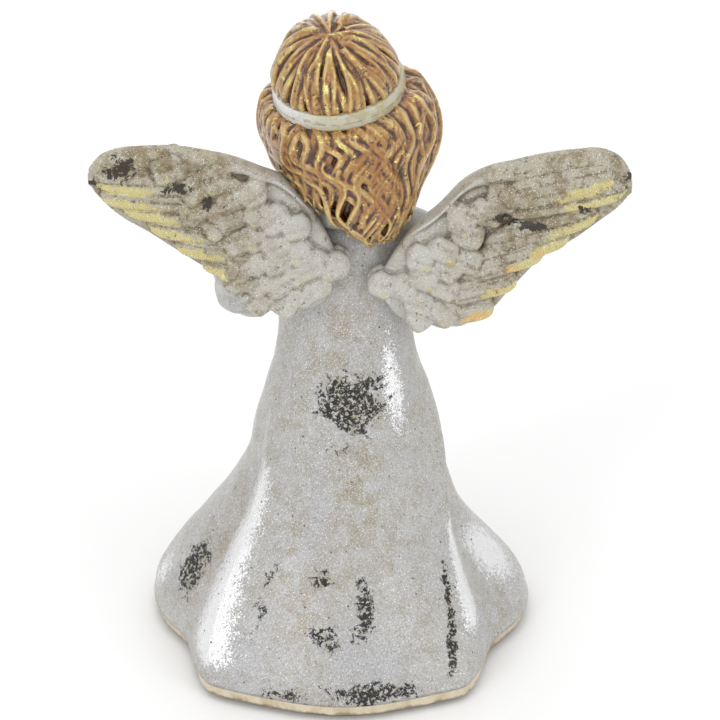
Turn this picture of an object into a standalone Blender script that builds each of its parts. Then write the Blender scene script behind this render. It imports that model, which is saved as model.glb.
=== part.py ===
"""Resin angel figurine: separate castings, pins and a base, in metres, +Z up.

The figure faces -Y and its wings are at +Y. The origin is on the table, under the middle of the robe.
Left and right are the figure's own, so its left side is at +X.
"""

import math

import bmesh
import bpy
from mathutils import Matrix, Vector

MM = 0.001
GLUE_GAP = 0.3 * MM  # glue line between two castings

# Base, bottom to top
FELT_TOP = 0.9 * MM
FELT_INSET = 1.6 * MM
PLATE_BOTTOM = FELT_TOP + GLUE_GAP
PLATE_TOP = PLATE_BOTTOM + 2.0 * MM
PLATE_LIP = 0.35 * MM
HEM = PLATE_TOP + GLUE_GAP

# Robe body: height, then how far it reaches to the left, right, back and front, all in mm
ROBE_BODY = [
    (3.5, 36.6, 35.2, 38.8, 35.4),
    (7, 35.8, 34.0, 37.4, 34.4),
    (12, 33.0, 30.2, 33.4, 31.2),
    (18, 28.8, 25.2, 28.6, 27.0),
    (24, 24.4, 21.6, 25.0, 23.8),
    (30, 20.6, 20.0, 22.4, 21.2),
    (36, 17.8, 18.8, 20.0, 19.0),
    (42, 16.8, 17.8, 18.0, 17.2),
    (50, 14.9, 15.8, 15.4, 15.0),
    (57, 13.2, 13.8, 13.0, 12.6),
    (63, 12.4, 12.8, 11.2, 11.0),
    (70, 12.6, 12.6, 9.6, 9.8),
    (78, 12.6, 12.4, 8.6, 8.8),
    (83, 11.0, 10.8, 7.6, 7.6),
    (87, 6.0, 6.0, 5.2, 5.2),
]
# Drapery: bearing from the back towards the left and spread, both in degrees, then height at the hem in mm
ROBE_FOLDS = [
    (37, 8, 2.8),
    (59, 8, -1.8),
    (95, 14, 1.8),
    (128, 10, -2.6),
    (152, 11, 1.6),
    (180, 10, -1.4),
    (-152, 11, 1.6),
    (-126, 10, -2.4),
    (-86, 14, 1.4),
    (-59, 8, -1.6),
    (-40, 7, 1.7),
    (0, 12, 0.5),
]
FOLDS_END = 62  # mm, the folds have died out here
ROBE_WALL = 4.0  # mm
CAVITY_TOP = 56  # mm
CAVITY_EDGE = 4 * MM  # radius of the hollow's rounded top
ROBE_SEGMENTS, ROBE_RINGS = 48, 13

# Soft rolled collar: a ring of oval section, leaning down at the front
COLLAR_CENTRE = Vector((-0.3, -0.6, 87.2)) * MM
COLLAR_RADIUS = 7.4 * MM
COLLAR_SECTION = Vector((2.4, 0, 1.9)) * MM
COLLAR_LEAN = math.radians(8)

# Head: everything above the neck is tilted about this point
HEAD_CENTRE = Vector((0.0, 0.5, 104)) * MM
HEAD_TILT = math.radians(9.5)
SKULL = Vector((9.9, 11.0, 13.6)) * MM
FACE_FORWARD = Vector((0, -2.8, -1.0)) * MM  # the skull's place inside the hair
HAIR = Vector((13.5, 14.0, 20.3)) * MM
HAIR_SEGMENTS, HAIR_RINGS = 26, 22
FACE_WINDOW = Vector((9.6, 12, 13.5)) * MM  # half sizes of the room that the hair leaves for the face
WINDOW_PLACE = Vector((0, -14.5, -4.5)) * MM
NECK_RADIUS = 4.4 * MM
NECK_LENGTH = 18 * MM
NECK_CENTRE = Vector((-0.3, 0.2, 95)) * MM
BAND_HEIGHT = 3.3 * MM
BAND_THICKNESS = 1.0 * MM
BAND_PINCH = 2.1 * MM  # how far it draws the hair in
PINCH_REACH = 2.6 * MM  # how far above and below it the hair is drawn in
PINCH_FULL = -0.4 * MM  # the height, below its middle, at which the pinch is full
BAND_LEVEL = 7.6 * MM  # above the head's centre
BAND_PITCH = math.radians(-10)  # lower at the back
BAND_ROLL = math.radians(-4)

# Hidden pins: length and radius
WING_PIN = (8 * MM, 0.8 * MM)
NECK_DOWEL = (14 * MM, 1.5 * MM)
ARM_DOWEL = (9 * MM, 1.2 * MM)
PIN_PLAY = 0.1 * MM  # all round a pin and past its ends
PIN_SEGMENTS = 12
UP, BACK = Vector((0, 0, 1)), Vector((0, 1, 0))
LEFT_OUT, RIGHT_OUT = Vector((1, -0.1, 0)), Vector((-1, -0.1, 0))

# Where the glued-on pieces start
LEFT_WING_ANCHOR = Vector((0.2, 9.5, 78.3)) * MM
RIGHT_WING_ANCHOR = Vector((-6.0, 9.5, 74.6)) * MM
NECK_DOWEL_FOOT = Vector((-0.3, 0.2, 80)) * MM
LEFT_WING_PINS = [Vector((4.5, 2.5, 82)) * MM, Vector((5.5, 2.5, 76)) * MM]
RIGHT_WING_PINS = [Vector((-8.5, 2.5, 79)) * MM, Vector((-8.5, 2.5, 73.5)) * MM]
LEFT_ARM_DOWEL = Vector((6.0, -1.5, 81)) * MM
RIGHT_ARM_DOWEL = Vector((-6.0, -1.5, 77)) * MM

COLOURS = {  # base colour, roughness, metallic
    "pearl": ((0.72, 0.70, 0.67), 0.35, 0.15),
    "wing": ((0.66, 0.63, 0.56), 0.45, 0.15),
    "hair": ((0.50, 0.29, 0.10), 0.35, 0.35),
    "ribbon": ((0.80, 0.78, 0.70), 0.35, 0.05),
    "skin": ((0.84, 0.66, 0.54), 0.45, 0.0),
    "resin": ((0.76, 0.70, 0.58), 0.55, 0.0),
    "felt": ((0.10, 0.16, 0.11), 0.95, 0.0),
    "steel": ((0.60, 0.60, 0.60), 0.30, 1.0),
}


def clear_scene():
    for obj in list(bpy.data.objects):
        bpy.data.objects.remove(obj)


def new_collection(name):
    collection = bpy.data.collections.new(name)
    bpy.context.scene.collection.children.link(collection)
    return collection


def material(name):
    """One Principled material for each finish, made on first use."""
    if name in bpy.data.materials:
        return bpy.data.materials[name]
    colour, roughness, metallic = COLOURS[name]
    made = bpy.data.materials.new(name)
    made.use_nodes = True
    shader = made.node_tree.nodes["Principled BSDF"]
    shader.inputs["Base Color"].default_value = (*colour, 1)
    shader.inputs["Roughness"].default_value = roughness
    shader.inputs["Metallic"].default_value = metallic
    return made


def add_object(name, bm, finish=None):
    """Turns a bmesh into a part, or into a cutter where it has no finish."""
    bmesh.ops.recalc_face_normals(bm, faces=bm.faces)
    mesh = bpy.data.meshes.new(name)
    bm.to_mesh(mesh)
    bm.free()
    obj = bpy.data.objects.new(name, mesh)
    if finish:
        mesh.materials.append(material(finish))
        mesh.shade_smooth()
        PARTS.objects.link(obj)
    else:
        hide(obj)
    return obj


def hide(obj):
    obj.hide_render = True
    obj.display_type = "WIRE"
    CUTTERS.objects.link(obj)


def boolean(obj, other, operation):
    modifier = obj.modifiers.new(operation.lower(), "BOOLEAN")
    modifier.operation = operation
    modifier.object = other


def evaluated_mesh(obj):
    graph = bpy.context.evaluated_depsgraph_get()
    return bpy.data.meshes.new_from_object(obj.evaluated_get(graph))


def settle(obj):
    """Applies the modifiers, so that the next cuts start from a plain mesh."""
    bpy.context.view_layer.update()
    made = evaluated_mesh(obj)
    obj.modifiers.clear()
    obj.data = made


def grown_copy(obj, distance=GLUE_GAP):
    """A cutter with the shape of a part, larger all round by the glue line."""
    bpy.context.view_layer.update()
    copy = bpy.data.objects.new(obj.name + "_room", evaluated_mesh(obj))
    hide(copy)
    swell = copy.modifiers.new("swell", "DISPLACE")
    swell.strength = distance
    swell.mid_level = 0
    settle(copy)
    return copy


def fit_round(obj, *neighbours):
    """Cuts room for each neighbour out of a part."""
    for neighbour in neighbours:
        boolean(obj, grown_copy(neighbour), "DIFFERENCE")
    settle(obj)


def smooth_step(low, high, value):
    t = min(1, max(0, (value - low) / (high - low)))
    return t * t * (3 - 2 * t)


def spline_value(rows, at, column):
    """Catmull-Rom value of a column of rows, whose first column is the position."""
    last = len(rows) - 1
    if at <= rows[0][0]:
        return rows[0][column]
    if at >= rows[last][0]:
        return rows[last][column]
    i = max(k for k in range(last) if rows[k][0] <= at)
    a, b = rows[i], rows[i + 1]
    before, after = rows[max(i - 1, 0)], rows[min(i + 2, last)]
    span = b[0] - a[0]
    t = (at - a[0]) / span
    slope_a = (b[column] - before[column]) / (b[0] - before[0]) * span
    slope_b = (after[column] - a[column]) / (after[0] - a[0]) * span
    return (
        (2 * t**3 - 3 * t**2 + 1) * a[column]
        + (t**3 - 2 * t**2 + t) * slope_a
        + (3 * t**2 - 2 * t**3) * b[column]
        + (t**3 - t**2) * slope_b
    )


def stacked_tube(segments, rings):
    """A capped cylinder of unit radius from z 0 to 1, with the given rings between its ends."""
    bm = bmesh.new()
    bmesh.ops.create_cone(
        bm, cap_ends=True, cap_tris=False, segments=segments, radius1=1, radius2=1, depth=1
    )
    bmesh.ops.translate(bm, verts=bm.verts, vec=(0, 0, 0.5))
    upright = [e for e in bm.edges if abs(e.verts[0].co.z - e.verts[1].co.z) > 0.5]
    bmesh.ops.subdivide_edges(bm, edges=upright, cuts=rings, use_grid_fill=True)
    return bm


def fold_height(bearing, z):
    """How far the drapery stands out at a bearing (degrees) and a height (mm)."""
    depth = 0
    for centre, spread, height in ROBE_FOLDS:
        away = (bearing - centre + 180) % 360 - 180
        depth += height * math.exp(-0.5 * (away / spread) ** 2)
    return depth * (1 - smooth_step(0, FOLDS_END, z)) ** 0.8


def robe_point(turn, z, inset=0.0, folded=True):
    """Point on the robe, turn in radians from the back (+Y) towards the figure's left (+X), z in mm."""
    wide = spline_value(ROBE_BODY, z, 1 if turn > 0 else 2) - inset
    deep = spline_value(ROBE_BODY, z, 3 if abs(turn) < math.pi / 2 else 4) - inset
    out = fold_height(math.degrees(turn), z) if folded else 0
    return Vector(((wide + out) * math.sin(turn), (deep + out) * math.cos(turn), z)) * MM


def robe_solid(segments, rings, low, high, inset=0.0, folded=True):
    """The robe's form between two heights in mm, closed at both ends."""
    bm = stacked_tube(segments, rings)
    for vert in bm.verts:
        turn = math.atan2(vert.co.x, vert.co.y)
        vert.co = robe_point(turn, low + (high - low) * vert.co.z, inset, folded)
    return bm


def make_robe_form():
    """The outside of the robe without its hollow, for fitting the pieces that sit on it."""
    return add_object("robe_form", robe_solid(ROBE_SEGMENTS, ROBE_RINGS, HEM / MM, ROBE_BODY[-1][0]))


def make_robe():
    outside = robe_solid(ROBE_SEGMENTS, ROBE_RINGS, HEM / MM, ROBE_BODY[-1][0])
    robe = add_object("robe", outside, "pearl")
    hollow = robe_solid(20, 5, HEM / MM - 1, CAVITY_TOP, ROBE_WALL, folded=False)
    cavity = add_object("cavity", hollow)
    dome = cavity.modifiers.new("dome", "BEVEL")
    dome.width = CAVITY_EDGE
    dome.segments = 2
    settle(cavity)
    boolean(robe, cavity, "DIFFERENCE")
    settle(robe)
    return robe


def hem_slab(name, low, high, grow, finish):
    """A flat plate with the outline of the robe's hem."""
    bm = stacked_tube(ROBE_SEGMENTS, 0)
    for vert in bm.verts:
        turn = math.atan2(vert.co.x, vert.co.y)
        edge = robe_point(turn, HEM / MM, -grow / MM)
        vert.co = (edge.x, edge.y, low + (high - low) * vert.co.z)
    return add_object(name, bm, finish)


def make_base():
    hem_slab("felt_pad", 0, FELT_TOP, -FELT_INSET, "felt")
    hem_slab("base_plate", PLATE_BOTTOM, PLATE_TOP, PLATE_LIP, "resin")


STATION_STEP = 0.02  # share of a station, for finding a limb's direction


def limb(stations, segments, rings):
    """A rounded body along stations of (point, half width, half thickness), all in mm.

    The width lies across the path in the XZ plane, and the thickness is square to both.
    """
    bm = bmesh.new()
    bmesh.ops.create_uvsphere(bm, u_segments=segments, v_segments=rings, radius=1)
    last = len(stations) - 1
    rows = [(i, *point, wide, thick) for i, (point, wide, thick) in enumerate(stations)]

    def centre(at):
        return Vector([spline_value(rows, at, c) for c in (1, 2, 3)])

    for vert in bm.verts:
        share = math.acos(max(-1, min(1, vert.co.z))) / math.pi
        at = share * last
        along = (centre(min(at + STATION_STEP, last)) - centre(max(at - STATION_STEP, 0))).normalized()
        side = along.cross(BACK).normalized()
        depth = side.cross(along)
        around = math.atan2(vert.co.y, vert.co.x)
        full = math.sqrt(max(0, 1 - (2 * share - 1) ** 4))
        wide = spline_value(rows, at, 4) * full * math.cos(around)
        thick = spline_value(rows, at, 5) * full * math.sin(around)
        vert.co = (centre(at) + side * wide + depth * thick) * MM
    return bm


# Each sleeve: upper arm from the shoulder to the elbow, then a forearm that widens to the cuff, in mm
LEFT_UPPER_ARM = [
    ((9.5, -2.5, 89.5), 5.0, 5.0),
    ((14.5, -2.5, 81), 7.4, 7.2),
    ((17.5, -2.0, 72), 7.2, 7.4),
    ((18.0, -2.5, 64.5), 5.6, 5.8),
]
LEFT_FOREARM = [
    ((20.5, -1.5, 68.0), 4.4, 4.6),
    ((14.0, -7.0, 70.5), 6.8, 6.0),
    ((5.4, -11.6, 76.5), 5.4, 4.4),
]
RIGHT_UPPER_ARM = [
    ((-8.5, -1.0, 86), 5.0, 5.0),
    ((-14.5, -1.0, 78), 7.0, 7.2),
    ((-18.8, -1.0, 71), 7.4, 7.4),
    ((-21.0, -2.0, 62.6), 6.0, 5.8),
]
RIGHT_FOREARM = [
    ((-23.0, -1.0, 65.5), 4.6, 4.6),
    ((-15.0, -7.0, 69.5), 6.8, 6.0),
    ((-5.4, -11.6, 76.0), 5.4, 4.4),
]


def make_sleeve(name, upper_arm, forearm, *neighbours):
    sleeve = add_object(name, limb(upper_arm, 14, 10), "pearl")
    boolean(sleeve, add_object(name + "_forearm", limb(forearm, 14, 10)), "UNION")
    settle(sleeve)
    fit_round(sleeve, *neighbours)
    return sleeve


# Each hand from the wrist to the finger tips, as (out from the palms, y, z), half width and half depth, in mm
HAND_ROWS = [
    ((5.2, -11.0, 75.0), 2.3, 2.6),
    ((3.0, -12.6, 78.6), 2.0, 3.1),
    ((2.0, -13.8, 82.4), 1.8, 3.3),
    ((1.75, -14.8, 86.6), 1.5, 2.4),
    ((1.2, -15.2, 90.4), 1.0, 1.3),
]
PALM_PLANE = 0.3  # mm that the palms meet to the left of the middle


def make_hand(name, side, *neighbours):
    """One of two hands laid palm to palm, pointing up in front of the chest."""
    rows = [((side * x + PALM_PLANE, y, z), wide, thick) for (x, y, z), wide, thick in HAND_ROWS]
    hand = add_object(name, limb(rows, 12, 12), "skin")
    fit_round(hand, *neighbours)
    return hand


def head_matrix():
    return Matrix.Translation(HEAD_CENTRE) @ Matrix.Rotation(HEAD_TILT, 4, "Y")


def make_collar(robe):
    """A soft rolled collar round the neck."""
    bm = bmesh.new()
    bmesh.ops.create_circle(bm, segments=8, radius=1)
    for vert in bm.verts:
        vert.co = (COLLAR_RADIUS + COLLAR_SECTION.x * vert.co.x, 0, COLLAR_SECTION.z * vert.co.y)
    geom = bm.verts[:] + bm.edges[:]
    bmesh.ops.spin(
        bm, geom=geom, cent=(0, 0, 0), axis=UP, angle=math.tau, steps=24, use_merge=True
    )
    place = Matrix.Translation(COLLAR_CENTRE) @ Matrix.Rotation(COLLAR_LEAN, 4, "X")
    bmesh.ops.transform(bm, matrix=place, verts=bm.verts)
    collar = add_object("collar", bm, "pearl")
    fit_round(collar, robe)
    return collar


def ellipsoid(size, segments, rings):
    bm = bmesh.new()
    bmesh.ops.create_uvsphere(bm, u_segments=segments, v_segments=rings, radius=1)
    bmesh.ops.scale(bm, verts=bm.verts, vec=size)
    return bm


def swell_towards(bm, direction, height, spread):
    """Raises a star-shaped form round a direction, by a height that dies away over spread (radians)."""
    towards = Vector(direction).normalized()
    for vert in bm.verts:
        away = vert.co.angle(towards)
        vert.co += vert.co.normalized() * height * math.exp(-0.5 * (away / spread) ** 2)


# Raised forms: direction from the middle, height, spread in radians
FACE_FORMS = [
    ((0, -1, -0.95), 1.2 * MM, 0.25),  # chin
    ((0.55, -1, -0.45), 0.7 * MM, 0.3),  # cheeks
    ((-0.55, -1, -0.45), 0.7 * MM, 0.3),
    ((0, -1, -0.2), 1.6 * MM, 0.1),  # nose
]
HAIR_FORMS = [
    ((-1, -0.25, -0.25), 2.9 * MM, 0.42),  # the large mass on the right
    ((1, -0.25, 0.15), 1.2 * MM, 0.26),
    ((-0.10, 0.50, -0.86), 4.4 * MM, 0.38),  # the long locks at the nape
]


def make_head(*neighbours):
    """Face and neck in one casting, under the hair."""
    bm = ellipsoid(SKULL, 18, 14)
    for form in FACE_FORMS:
        swell_towards(bm, *form)
    place = head_matrix() @ Matrix.Translation(FACE_FORWARD)
    bmesh.ops.transform(bm, matrix=place, verts=bm.verts)
    head = add_object("head", bm, "skin")
    neck = bmesh.new()
    bmesh.ops.create_cone(
        neck,
        cap_ends=True,
        segments=14,
        radius1=NECK_RADIUS,
        radius2=NECK_RADIUS,
        depth=NECK_LENGTH,
        matrix=Matrix.Translation(NECK_CENTRE),
    )
    boolean(head, add_object("neck", neck), "UNION")
    settle(head)
    fit_round(head, *neighbours)
    return head


def band_place():
    """The ribbon's plane, in the head's own axes."""
    turn = Matrix.Rotation(BAND_ROLL, 4, "Y") @ Matrix.Rotation(BAND_PITCH, 4, "X")
    return Matrix.Translation(UP * BAND_LEVEL) @ turn


def hair_form(grow=0.0):
    """The outside of the hair: a dome drawn in under the ribbon, side curls and long locks at the nape."""
    bm = ellipsoid(HAIR + Vector((grow, grow, grow)), HAIR_SEGMENTS, HAIR_RINGS)
    for form in HAIR_FORMS:
        swell_towards(bm, *form)
    to_band = band_place().inverted()
    for vert in bm.verts:
        above = (to_band @ vert.co).z
        if above > 0:
            drawn = math.exp(-0.5 * (above / PINCH_REACH) ** 2)
        else:
            drawn = smooth_step(-PINCH_REACH, PINCH_FULL, above)
        way = vert.co.normalized()
        drawn *= 0.25 + 0.75 * smooth_step(-0.7, 0.1, way.y)  # the forehead holds it out
        vert.co -= way * BAND_PINCH * drawn
    bmesh.ops.transform(bm, matrix=head_matrix(), verts=bm.verts)
    return bm


def make_hair(head, *neighbours):
    hair = add_object("hair", hair_form(), "hair")
    window = ellipsoid(FACE_WINDOW, 16, 12)
    place = head_matrix() @ Matrix.Translation(WINDOW_PLACE)
    bmesh.ops.transform(window, matrix=place, verts=window.verts)
    boolean(hair, add_object("face_window", window), "DIFFERENCE")
    fit_round(hair, head, *neighbours)
    return hair


def make_headband():
    """A flat ribbon that follows the hair all round."""
    bm = hair_form(grow=BAND_THICKNESS)
    place = head_matrix() @ band_place()
    up = place.to_3x3() @ UP
    for point, normal in (
        (place @ (UP * -BAND_HEIGHT / 2), -up),
        (place @ (UP * BAND_HEIGHT / 2), up),
    ):
        cut = bmesh.ops.bisect_plane(
            bm,
            geom=bm.verts[:] + bm.edges[:] + bm.faces[:],
            plane_co=point,
            plane_no=normal,
            clear_outer=True,
        )
        edges = [e for e in cut["geom_cut"] if isinstance(e, bmesh.types.BMEdge)]
        bmesh.ops.contextual_create(bm, geom=edges)
    band = add_object("headband", bm, "ribbon")
    core = add_object("band_core", hair_form(grow=GLUE_GAP))
    boolean(band, core, "DIFFERENCE")
    settle(band)
    return band


# A wing: distance out from its anchor, height of the lower and the upper edge, half thickness, all in mm
LEFT_WING_ROWS = [
    (0.6, -2.6, 6.0, 1.6),
    (3.0, -6.0, 10.0, 2.3),
    (6.0, -7.3, 14.5, 2.6),
    (10.0, -6.8, 19.2, 2.6),
    (15.0, -4.2, 21.8, 2.6),
    (20.0, -1.0, 24.2, 2.5),
    (25.0, 2.4, 25.8, 2.4),
    (30.0, 6.4, 26.9, 2.3),
    (35.0, 10.6, 27.3, 2.1),
    (39.0, 13.6, 27.4, 1.9),
    (42.6, 17.4, 26.2, 1.5),
    (45.2, 20.6, 23.2, 0.8),
]
RIGHT_WING_ROWS = [
    (0.6, -2.0, 6.0, 1.6),
    (3.0, -4.8, 9.0, 2.3),
    (6.5, -6.2, 13.5, 2.6),
    (11.0, -6.4, 17.6, 2.7),
    (15.5, -5.6, 22.8, 2.7),
    (20.0, -4.0, 25.8, 2.6),
    (25.0, 2.4, 27.6, 2.4),
    (30.0, 8.6, 29.2, 2.3),
    (35.0, 12.4, 30.4, 2.1),
    (39.7, 16.8, 31.0, 1.9),
    (43.2, 20.0, 29.2, 1.5),
    (45.5, 22.8, 25.2, 0.8),
]
WING_SCALLOPS = 6  # feather tips along the lower edge
SCALLOP_START = 8  # mm out, where the first one begins
SCALLOP_DEPTH = 0.9
WING_SWEEP = 7.0  # mm that the tip stands back from the root


def wing_solid(rows, around, out):
    """A wing with its flat of feathers facing back, its anchor at the origin and the tip at +X, in mm."""
    bm = bmesh.new()
    bmesh.ops.create_uvsphere(bm, u_segments=around, v_segments=out, radius=1)
    start, end = rows[0][0], rows[-1][0]
    for vert in bm.verts:
        share = math.acos(max(-1, min(1, vert.co.z))) / math.pi
        at = start + (end - start) * share
        low, high, half = (spline_value(rows, at, column) for column in (1, 2, 3))
        if at > SCALLOP_START:
            share_out = (at - SCALLOP_START) / (end - SCALLOP_START)
            low += SCALLOP_DEPTH * (1 - abs(math.sin(math.pi * WING_SCALLOPS * share_out)))
        end_share = abs(2 * share - 1)
        full = max(0, 1 - end_share**14) ** 0.5
        turn = math.atan2(vert.co.y, vert.co.x)
        across, thick = math.cos(turn), math.sin(turn)
        across = math.copysign(abs(across) ** 0.55, across)
        thick = math.copysign(abs(thick) ** 0.55, thick)
        vert.co = (
            at,
            half * full * thick + WING_SWEEP * (at / end) ** 2,
            (low + high) / 2 + (high - low) / 2 * full * across,
        )
    return bm


def make_wing(name, side, rows, anchor, *neighbours):
    """Side is +1 for the figure's left."""
    bm = wing_solid(rows, 16, 26)
    place = Matrix.Translation(anchor) @ Matrix.Diagonal((side * MM, MM, MM, 1))
    bmesh.ops.transform(bm, matrix=place, verts=bm.verts)
    wing = add_object(name, bm, "wing")
    fit_round(wing, *neighbours)
    return wing


def rod(start, way, length, radius):
    """A plain round bar from a start point along a unit direction."""
    bm = bmesh.new()
    turn = way.to_track_quat("Z", "Y").to_matrix().to_4x4()
    bmesh.ops.create_cone(
        bm,
        cap_ends=True,
        segments=PIN_SEGMENTS,
        radius1=radius,
        radius2=radius,
        depth=length,
        matrix=Matrix.Translation(start + way * length / 2) @ turn,
    )
    return bm


def make_pin(name, start, direction, size, finish, *held_in):
    """A pin and its blind holes, each a little larger than the pin."""
    way = direction.normalized()
    length, radius = size
    add_object(name, rod(start, way, length, radius), finish)
    hole = rod(start - way * PIN_PLAY, way, length + 2 * PIN_PLAY, radius + PIN_PLAY)
    cutter = add_object(name + "_hole", hole)
    for part in held_in:
        boolean(part, cutter, "DIFFERENCE")


def main():
    robe = make_robe()
    form = make_robe_form()
    make_base()
    collar = make_collar(form)
    left_sleeve = make_sleeve("left_sleeve", LEFT_UPPER_ARM, LEFT_FOREARM, form, collar)
    right_sleeve = make_sleeve("right_sleeve", RIGHT_UPPER_ARM, RIGHT_FOREARM, form, collar)
    left_hand = make_hand("left_hand", 1, form, left_sleeve, right_sleeve)
    make_hand("right_hand", -1, form, left_sleeve, right_sleeve, left_hand)
    head = make_head(form, collar)
    hair = make_hair(head, form, collar, left_sleeve, right_sleeve)
    make_headband()
    left_wing = make_wing(
        "left_wing", 1, LEFT_WING_ROWS, LEFT_WING_ANCHOR, form, hair, collar, left_sleeve
    )
    right_wing = make_wing(
        "right_wing", -1, RIGHT_WING_ROWS, RIGHT_WING_ANCHOR, form, hair, collar, right_sleeve
    )
    make_pin("neck_dowel", NECK_DOWEL_FOOT, UP, NECK_DOWEL, "steel", robe, head)
    for side, wing, spots in (
        ("left", left_wing, LEFT_WING_PINS),
        ("right", right_wing, RIGHT_WING_PINS),
    ):
        for label, spot in zip(("upper", "lower"), spots):
            make_pin(f"{side}_wing_pin_{label}", spot, BACK, WING_PIN, "steel", robe, wing)
    make_pin("left_arm_dowel", LEFT_ARM_DOWEL, LEFT_OUT, ARM_DOWEL, "resin", robe, left_sleeve)
    make_pin("right_arm_dowel", RIGHT_ARM_DOWEL, RIGHT_OUT, ARM_DOWEL, "resin", robe, right_sleeve)
    bpy.context.view_layer.update()


clear_scene()
PARTS = new_collection("angel_figurine")
CUTTERS = new_collection("cutters")
main()
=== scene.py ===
"""Looks for the resin angel figurine: carved hair, feathered wings, a draped robe and distressed leaf.

Every shape is made in millimetres in the frame's own axes and becomes metres in add_piece(). The figure
faces -Y, its wings are at +Y and its own left side is at +X. A bearing is in degrees from the back (+Y)
towards the left.
"""

import math

import bmesh
import bpy
import numpy as np
from mathutils import Matrix, Vector, kdtree, noise


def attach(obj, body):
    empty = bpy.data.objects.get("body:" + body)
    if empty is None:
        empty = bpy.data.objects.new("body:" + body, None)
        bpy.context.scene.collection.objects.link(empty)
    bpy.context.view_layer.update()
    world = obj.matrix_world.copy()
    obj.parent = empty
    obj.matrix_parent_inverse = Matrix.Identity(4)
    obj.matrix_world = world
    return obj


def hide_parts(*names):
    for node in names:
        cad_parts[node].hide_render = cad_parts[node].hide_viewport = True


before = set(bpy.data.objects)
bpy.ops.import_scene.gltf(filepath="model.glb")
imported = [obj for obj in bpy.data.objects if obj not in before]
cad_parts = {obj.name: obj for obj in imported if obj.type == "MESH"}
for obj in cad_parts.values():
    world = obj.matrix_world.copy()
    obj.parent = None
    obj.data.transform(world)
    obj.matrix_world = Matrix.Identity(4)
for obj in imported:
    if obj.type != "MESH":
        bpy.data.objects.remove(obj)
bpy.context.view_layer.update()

MM = 0.001
RANDOM = np.random.default_rng(11)

# Heights of the base, as in the frame
FELT_TOP = 0.9
PLATE_BOTTOM = 1.2
PLATE_TOP = 3.2
HEM = 3.25

# Robe body: height, then how far it reaches to the left, right, back and front
ROBE_BODY = [
    (3.25, 36.6, 35.2, 38.8, 35.4),
    (7, 35.8, 34.0, 37.4, 34.4),
    (12, 33.0, 30.2, 33.4, 31.2),
    (18, 28.8, 25.2, 28.6, 27.0),
    (24, 24.4, 21.6, 25.0, 23.8),
    (30, 20.6, 20.0, 22.4, 21.2),
    (36, 17.8, 18.8, 20.0, 19.0),
    (42, 16.8, 17.8, 18.0, 17.2),
    (50, 14.9, 15.8, 15.4, 15.0),
    (57, 13.2, 13.8, 13.0, 12.6),
    (63, 12.4, 12.8, 11.2, 11.0),
    (70, 12.6, 12.6, 9.6, 9.8),
    (78, 12.6, 12.4, 8.6, 8.8),
    (83, 11.0, 10.8, 7.6, 7.6),
    (87, 6.0, 6.0, 5.2, 5.2),
]
# Drapery: bearing at the hem, degrees it turns for each mm of height, spread, height at the hem, sharpness
ROBE_FOLDS = [
    (40, 0.48, 8, 3.3, 1.3),
    (62, 0.10, 8, -2.2, 2.0),
    (95, 0, 14, 1.8, 2.0),
    (128, 0, 10, -2.6, 2.0),
    (152, 0, 11, 1.6, 1.5),
    (180, 0, 10, -1.4, 2.0),
    (-152, 0, 11, 1.6, 1.5),
    (-126, 0, 10, -2.4, 2.0),
    (-88, 0, 13, 1.5, 2.0),
    (-60, -0.9, 8, -2.2, 2.0),
    (-37, -1.15, 6.5, 2.7, 1.3),
    (0, 0, 12, 0.5, 2.0),
    (166, 0.10, 7, 0.9, 1.6),
    (-160, -0.12, 6, 1.0, 1.6),
    (148, 0.05, 6, -0.7, 2.0),
    (-178, 0.0, 5, -0.6, 2.0),
    (-142, -0.05, 6, -0.7, 2.0),
]
FOLDS_END = 62
LEFT_RIDGE, RIGHT_RIDGE = ROBE_FOLDS[0], ROBE_FOLDS[10]

# Head: everything above the neck is tilted about its centre
HEAD_CENTRE = Vector((0.0, 0.5, 104))
HEAD_TILT = math.radians(9.5)
SKULL = Vector((9.9, 11.0, 13.6))
FACE_FORWARD = Vector((0, -2.8, -1.0))
HAIR = Vector((13.5, 14.0, 20.3))
HEAD = Matrix.Translation(HEAD_CENTRE) @ Matrix.Rotation(HEAD_TILT, 4, "Y")
BAND_LEVEL = 7.6
BAND_HEIGHT = 3.3
BAND_PITCH = math.radians(-10)
BAND_ROLL = math.radians(-4)
BAND = (
    HEAD
    @ Matrix.Translation((0, 0, BAND_LEVEL))
    @ Matrix.Rotation(BAND_ROLL, 4, "Y")
    @ Matrix.Rotation(BAND_PITCH, 4, "X")
)


# ---------------------------------------------------------------- shape tools


def smooth_step(low, high, value):
    t = np.clip((value - low) / (high - low), 0, 1)
    return t * t * (3 - 2 * t)


def bell(value, spread, sharpness=2.0):
    return np.exp(-0.5 * np.abs(value / spread) ** sharpness)


def spline(rows, at, column):
    """Catmull-Rom values of one column of rows, whose first column is the position."""
    table = np.array(rows, float)
    x, y = table[:, 0], table[:, column]
    slope = np.gradient(y, x)
    at = np.clip(np.asarray(at, float), x[0], x[-1])
    i = np.clip(np.searchsorted(x, at, side="right") - 1, 0, len(x) - 2)
    span = x[i + 1] - x[i]
    t = (at - x[i]) / span
    return (
        (2 * t**3 - 3 * t**2 + 1) * y[i]
        + (t**3 - 2 * t**2 + t) * slope[i] * span
        + (3 * t**2 - 2 * t**3) * y[i + 1]
        + (t**3 - t**2) * slope[i + 1] * span
    )


def points_of(mesh):
    flat = np.empty(len(mesh.vertices) * 3)
    mesh.vertices.foreach_get("co", flat)
    return flat.reshape(-1, 3)


def move_points(mesh, points):
    mesh.vertices.foreach_set("co", np.asarray(points, float).ravel())
    mesh.update()


def normals_of(mesh):
    flat = np.empty(len(mesh.vertices) * 3, np.float32)
    mesh.vertex_normals.foreach_get("vector", flat)
    return flat.reshape(-1, 3).astype(float)


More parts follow.
